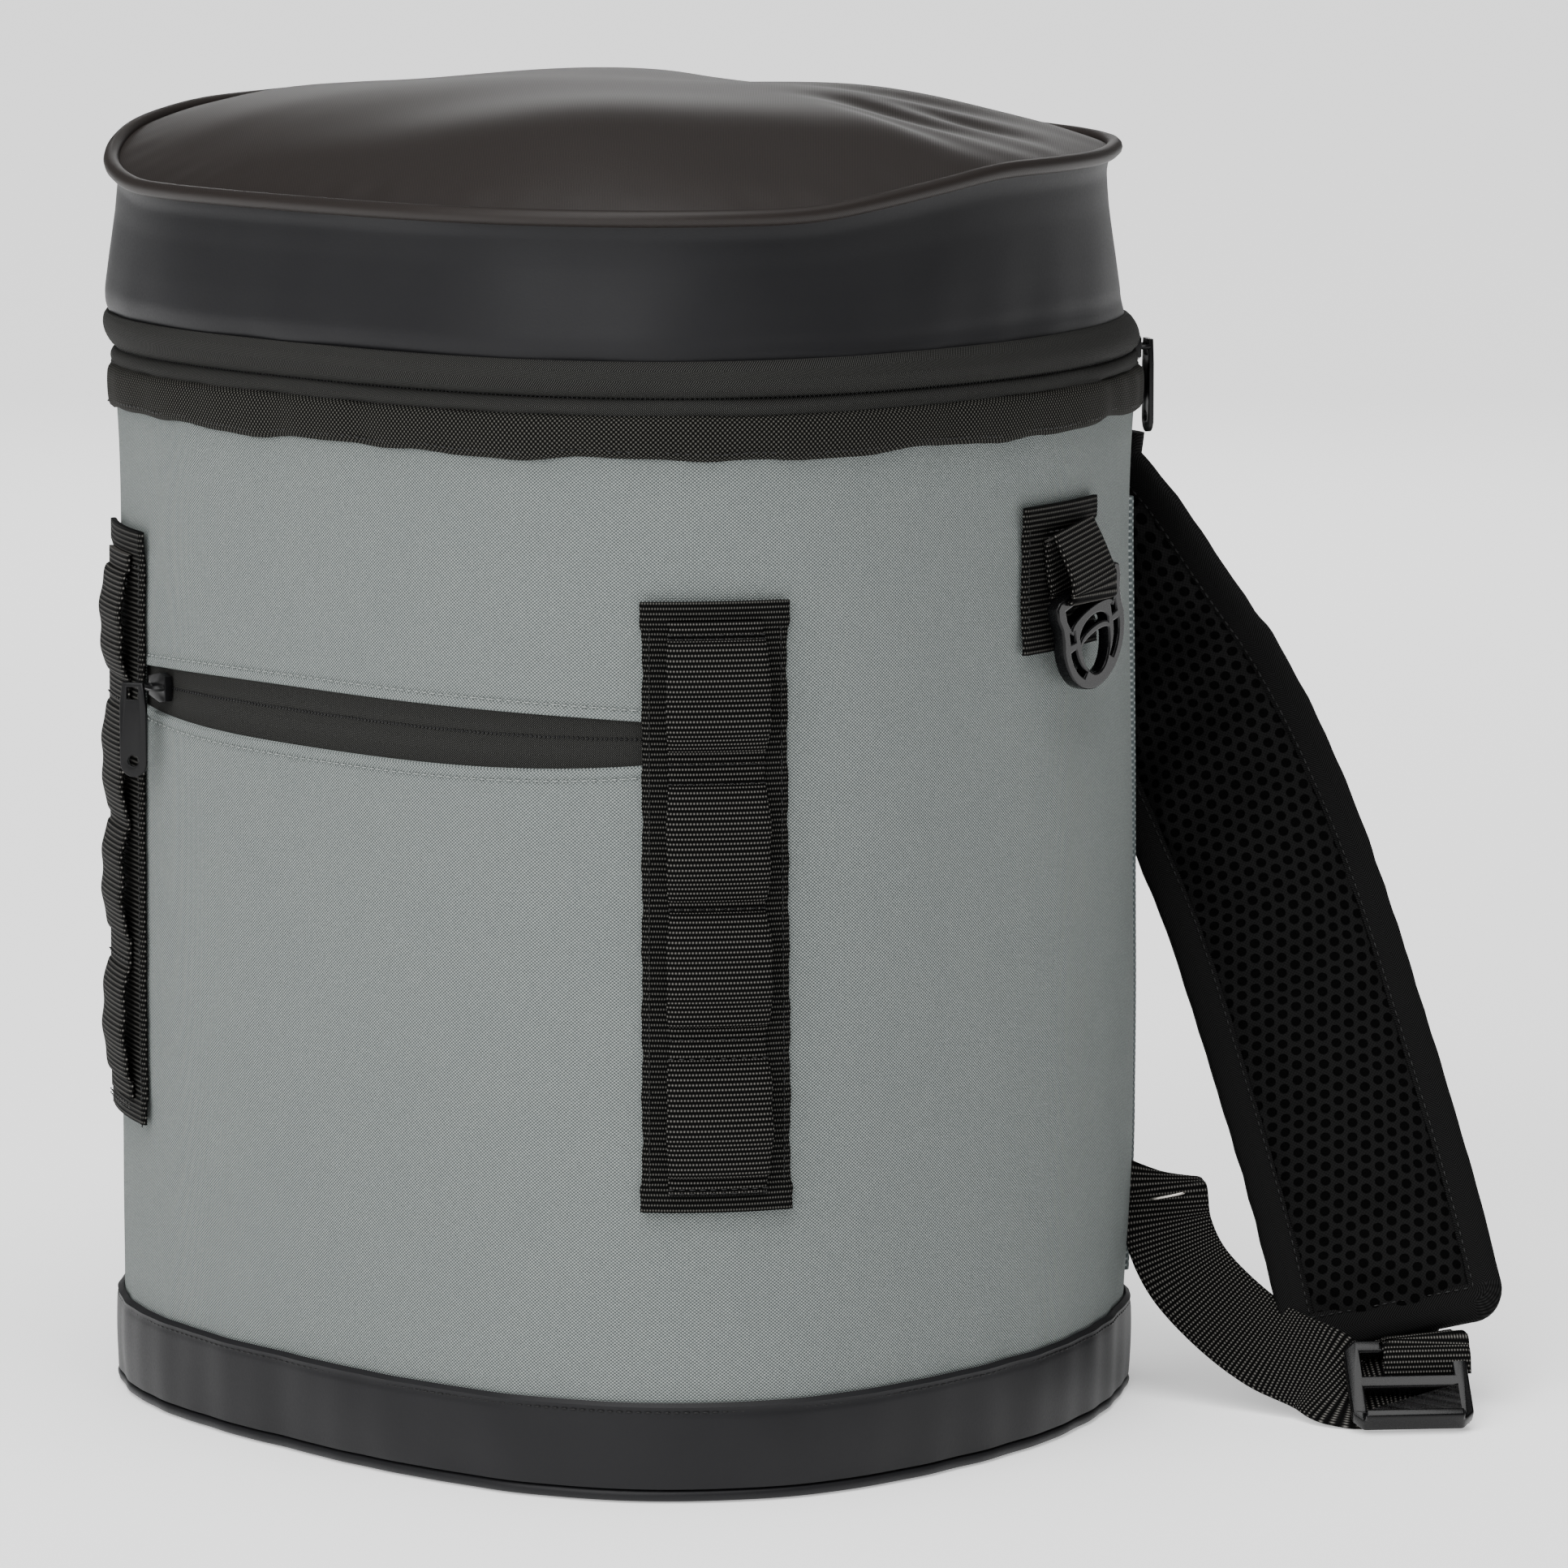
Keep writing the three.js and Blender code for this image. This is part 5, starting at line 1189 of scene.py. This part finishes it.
adjuster = {"side": 4.6, "forward": 22.0, "drop": 10.0, "lean": math.radians(40), "width": 33.0, "length": 28.0, "thickness": 4.0, "bar": 4.0}
lowerForm = [(0, 0, 0, 0), (0.18, -0.02, 0.06, 0.1), (0.42, 0.12, 0.26, 0.3), (0.66, 0.18, 0.4, 0.6), (0.86, 0.1, 0.32, 0.85)]
lowerWebbing = {"width": 25.0, "thickness": 1.5, "anchorHeight": 46.0, "gap": 0.3}


def strapEnd(name, foot):
    at, run, wide, normal = foot
    side = strapSides[name]["side"]
    across = np.array([wide[0], wide[1], 0]) / math.hypot(wide[0], wide[1])
    down = np.array([0, 0, -1.0])
    forward = np.array([side * across[1], -side * across[0], 0])
    along = forward * math.cos(adjuster["lean"]) + down * math.sin(adjuster["lean"])
    face = np.cross(along, across) * side
    middle = at + across * adjuster["side"] + forward * adjuster["forward"] + down * adjuster["drop"]
    thickness, gap = lowerWebbing["thickness"], lowerWebbing["gap"]
    over = adjuster["thickness"] / 2 + gap + thickness / 2
    bar = adjuster["length"] / 2 - adjuster["bar"] / 2

    def off(way, rise):
        return middle + along * way + face * rise

    tip = at + run * (gap + thickness)
    tab = [(at - run * 7, wide), (tip, wide), (tip + (off(-bar - 4, over + 3 * gap) - tip) * 0.6, wide), (off(-bar - 3, over + 3 * gap), across),
           (off(-bar, over + 2 * gap), across), (off(-bar + adjuster["bar"] * 0.7, over + gap), across), (off(-bar / 2 + 1, gap), across)]
    strapPiece("shoulderTab" + name.title(), tab, webLoop(24, thickness, 11), 50, finishes["webbing"], "webbing", "shoulder_tab_" + name)
    anchor = bagPoint(side * back["seam"], lowerWebbing["anchorHeight"], 2 * back["seamRadius"] + 2 * gap + thickness / 2).reshape(3)

    def behind(way):
        return off(-3, -over) + across * way

    arrival = behind(-adjuster["width"] / 2 - 4) - face
    upright, flat = np.array([0, 0, 1.0]), -along
    stations = []
    for way, sag, bow, turn in lowerForm:
        place = anchor + (arrival - anchor) * way + down * sag * 25 + forward * bow * 25
        direction = upright + (flat - upright) * turn
        stations.append([place, direction / np.linalg.norm(direction)])
    stations += [[arrival, flat], [behind(-adjuster["width"] * 0.3), flat], [behind(adjuster["width"] * 0.3), flat]]
    wallShares = np.linspace(-1, 1, 801)
    for station in stations:
        wall = bagPoint(wallShares, station[0][2])
        _, _, nx, ny = outlineAt(wallShares)
        nearest = int(np.argmin(np.linalg.norm(wall - station[0], axis=1)))
        out = np.array([nx[nearest], ny[nearest], 0])
        station[0] = station[0] + out * max(0, 5.75 - (station[0] - wall[nearest]) @ out)
        station[0][2] = max(station[0][2], abs(station[1][2]) * 12.5 + 1.8 * thickness)
    if name == "right":
        stations = foldedEnd() + [[arrival, flat], [behind(-adjuster["width"] * 0.3), flat], [behind(adjuster["width"] * 0.3), flat]]
    obj, length = strapPiece("lowerWebbing" + name.title(), stations, webLoop(24.6, thickness, 15, 0.15), 200, finishes["webbing"], "webbing",
                             "lower_webbing_" + name)
    return stations


# Right lower webbing as the photograph shows it: rightward, away and up from the plan's middle, and the way its width lies
foldedForm = [
    (147.0, 13.0, 41.0, 0.95, -0.2), (150.0, 11.5, 52.0, 0.95, -0.25), (152.6, 7.5, 58.6, 0.95, -0.3), (153.8, 3.0, 55.5, 0.95, -0.25),
    (155.0, 1.0, 45.0, 0.97, 0.1), (159.6, -7.0, 34.5, 0.92, 0.38), (169.5, -17.0, 24.5, 0.84, 0.54),
    (181.5, -29.0, 17.0, 0.74, 0.66), (193.5, -39.0, 13.0, 0.66, 0.62),
]


def inPhoto(right, away, up=0.0):
    return np.array([0.687 * right - 0.727 * away, 0.727 * right + 0.687 * away, up])


def foldedEnd():
    stations = []
    for right, away, up, wideRight, wideUp in foldedForm:
        wide = inPhoto(wideRight, 0.0, wideUp)
        stations.append([inPhoto(right, away, up), wide / np.linalg.norm(wide)])
    return stations


staple = {"length": 9.3, "wire": 0.85, "leg": 2.6}


def makeStaple(name, middle, run, out):
    # Wire staple pressed through the webbing: crown and two bent legs
    half, wire = staple["length"] / 2, staple["wire"] / 2
    wide = np.cross(out, run)
    halfPath = [(half - wire, 0.35), (half, -wire), (half, -staple["leg"] + 1.2), (half - 0.4, -staple["leg"])]
    path = [(-x, y) for x, y in halfPath[::-1]] + halfPath
    stations = [(middle + run * x + out * y, wide) for x, y in path]
    strapPiece("webbingStaple" + name.title(), stations, roundLoop(wire, 10), 60, finishes["wire"], "wire", "webbing_staple_" + name)


stitchRows = []
for name in ("right", "left"):
    stations, rows = makePad(name)
    stitchRows += rows
    hung = strapEnd(name, routeFrame(stations, 1.0))
    if name == "right":
        makeStaple(name, inPhoto(155.0, 1.2, 53.2), inPhoto(0.97, -0.1, 0.2), inPhoto(0, -1.0, 0.1))
    else:
        at, run, wide, normal = routeFrame(hung, 0.12)
        out = normal if normal[0] < 0 else -normal
        makeStaple(name, at + out * 1.1, run, out)
print("straps made")


blackRows = [
    aroundPath(base["top"] - base["stitchDrop"], 1.75),
    aroundPath(lambda s: 283.2 - binding["width"] + 1.9 + ripple(s), 2.3),
]
for side in (1, -1):
    middle = pocket["place"] + side * ladderSpread - (0.003 if side > 0 else 0)
    for across, low, high in ((-17, 78, 231), (17, 78, 231)):
        heights = np.linspace(low, high, 80)
        blackRows.append(bagPoint(middle + across / halfLength, heights, 2.15))
    for height in (78.5, 230.5):
        blackRows.append(bagPoint(middle + np.linspace(-17, 17, 20) / halfLength, height, 2.2))
    for height, flat in zip(ladder["tacks"], ladder["flats"]):
        for shift in (-0.6 * flat, 0.6 * flat):
            blackRows.append(bagPoint(middle + np.linspace(-11.6, 11.6, 16) / halfLength, np.clip(height + shift, 82, 227), 3.8))
    middle = side * ring["place"]
    for across in (-17, 17):
        blackRows.append(bagPoint(middle + across / halfLength, np.linspace(216, 251, 24), 2.15))
    for height in (216, 251):
        blackRows.append(bagPoint(middle + np.linspace(-17, 17, 20) / halfLength, height, 2.2))
    for shift in (0, 1.6, 3.2):
        blackRows.append(bagPoint(middle + np.linspace(-11.6, 11.6, 14) / halfLength, 246.4 - shift, 5.2 - 0.2 * shift))
thread = {"spacing": 2.5, "length": 2.0, "width": 0.55, "depth": 0.5}
layStitches("blackStitches", blackRows + stitchRows, thread, finishes["blackThread"], "webbing")
hemRows = []
for edge, sign in ((0, -1), (1, 1)):
    hemRows.append(aroundPath(lambda s: pocketEdges(s)[edge] + sign * pocket["hem"], 0.12, pocketStart + 0.01, pocketEnd - 0.01))
layStitches("greyStitches", hemRows, {"spacing": 2.6, "length": 1.9, "width": 0.5, "depth": 0.35}, finishes["greyThread"], "grey_cloth")
print("stitching made")


def makeStudio():
    mesh = bpy.data.meshes.new("studioFloor")
    mesh.from_pydata([(-30, -30, 0), (30, -30, 0), (30, 30, 0), (-30, 30, 0)], [], [(0, 1, 2, 3)])
    floor = newObject("studioFloor", mesh)
    # Matt white paper, lit a little from below as on a light table
    paper = {"Base Color": linear("#fafafa"), "Emission Color": linear("#ffffff"), "Emission Strength": 0.5, "Roughness": 0.9, "IOR": 1.15}
    material, _, _ = startMaterial("paleFloor", paper)
    mesh.materials.append(material)
    world = bpy.data.worlds.new("studioWorld")
    bpy.context.scene.world = world
    world.use_nodes = True
    world.node_tree.nodes["Background"].inputs["Color"].default_value = (1, 1, 1, 1)
    world.node_tree.nodes["Background"].inputs["Strength"].default_value = 0.2
    lamps = (
        ("keySoftbox", (0.62, -2.35, 1.75), 2.8, 1.7, 72),
        ("backSoftbox", (-1.7, 1.7, 1.0), 1.2, 0.4, 7),
    )
    for name, place, width, height, power in lamps:
        lamp = bpy.data.lights.new(name, "AREA")
        lamp.shape = "RECTANGLE"
        lamp.size = width
        lamp.size_y = height
        lamp.energy = power
        obj = newObject(name, lamp)
        obj.location = place
        obj.rotation_euler = toTrack(np.array([0, 0, 0.2]) - np.array(place))
    sun = bpy.data.lights.new("ceilingLight", "SUN")
    sun.energy = 3.2
    sun.angle = math.radians(50)
    obj = newObject("ceilingLight", sun)
    obj.rotation_euler = toTrack((-0.12, 0.16, -1))
    camera = bpy.data.cameras.new("photoCamera")
    camera.sensor_width = 36
    camera.lens = 192.6
    obj = newObject("photoCamera", camera)
    obj.location = (1.6457, -1.5562, 0.503)
    heading = math.atan2(1.5562, -1.6457) - math.radians(1.25)
    tilt = math.radians(-8.4)
    aim = (math.cos(heading) * math.cos(tilt), math.sin(heading) * math.cos(tilt), math.sin(tilt))
    obj.rotation_euler = toTrack(aim)
    bpy.context.scene.camera = obj


def toTrack(aim):
    return Vector(aim).to_track_quat("-Z", "Y").to_euler()


makeStudio()
for node in nodes.values():
    if not node.hide_render and node.name != "base_panel":
        print("solid still shown:", node.name)
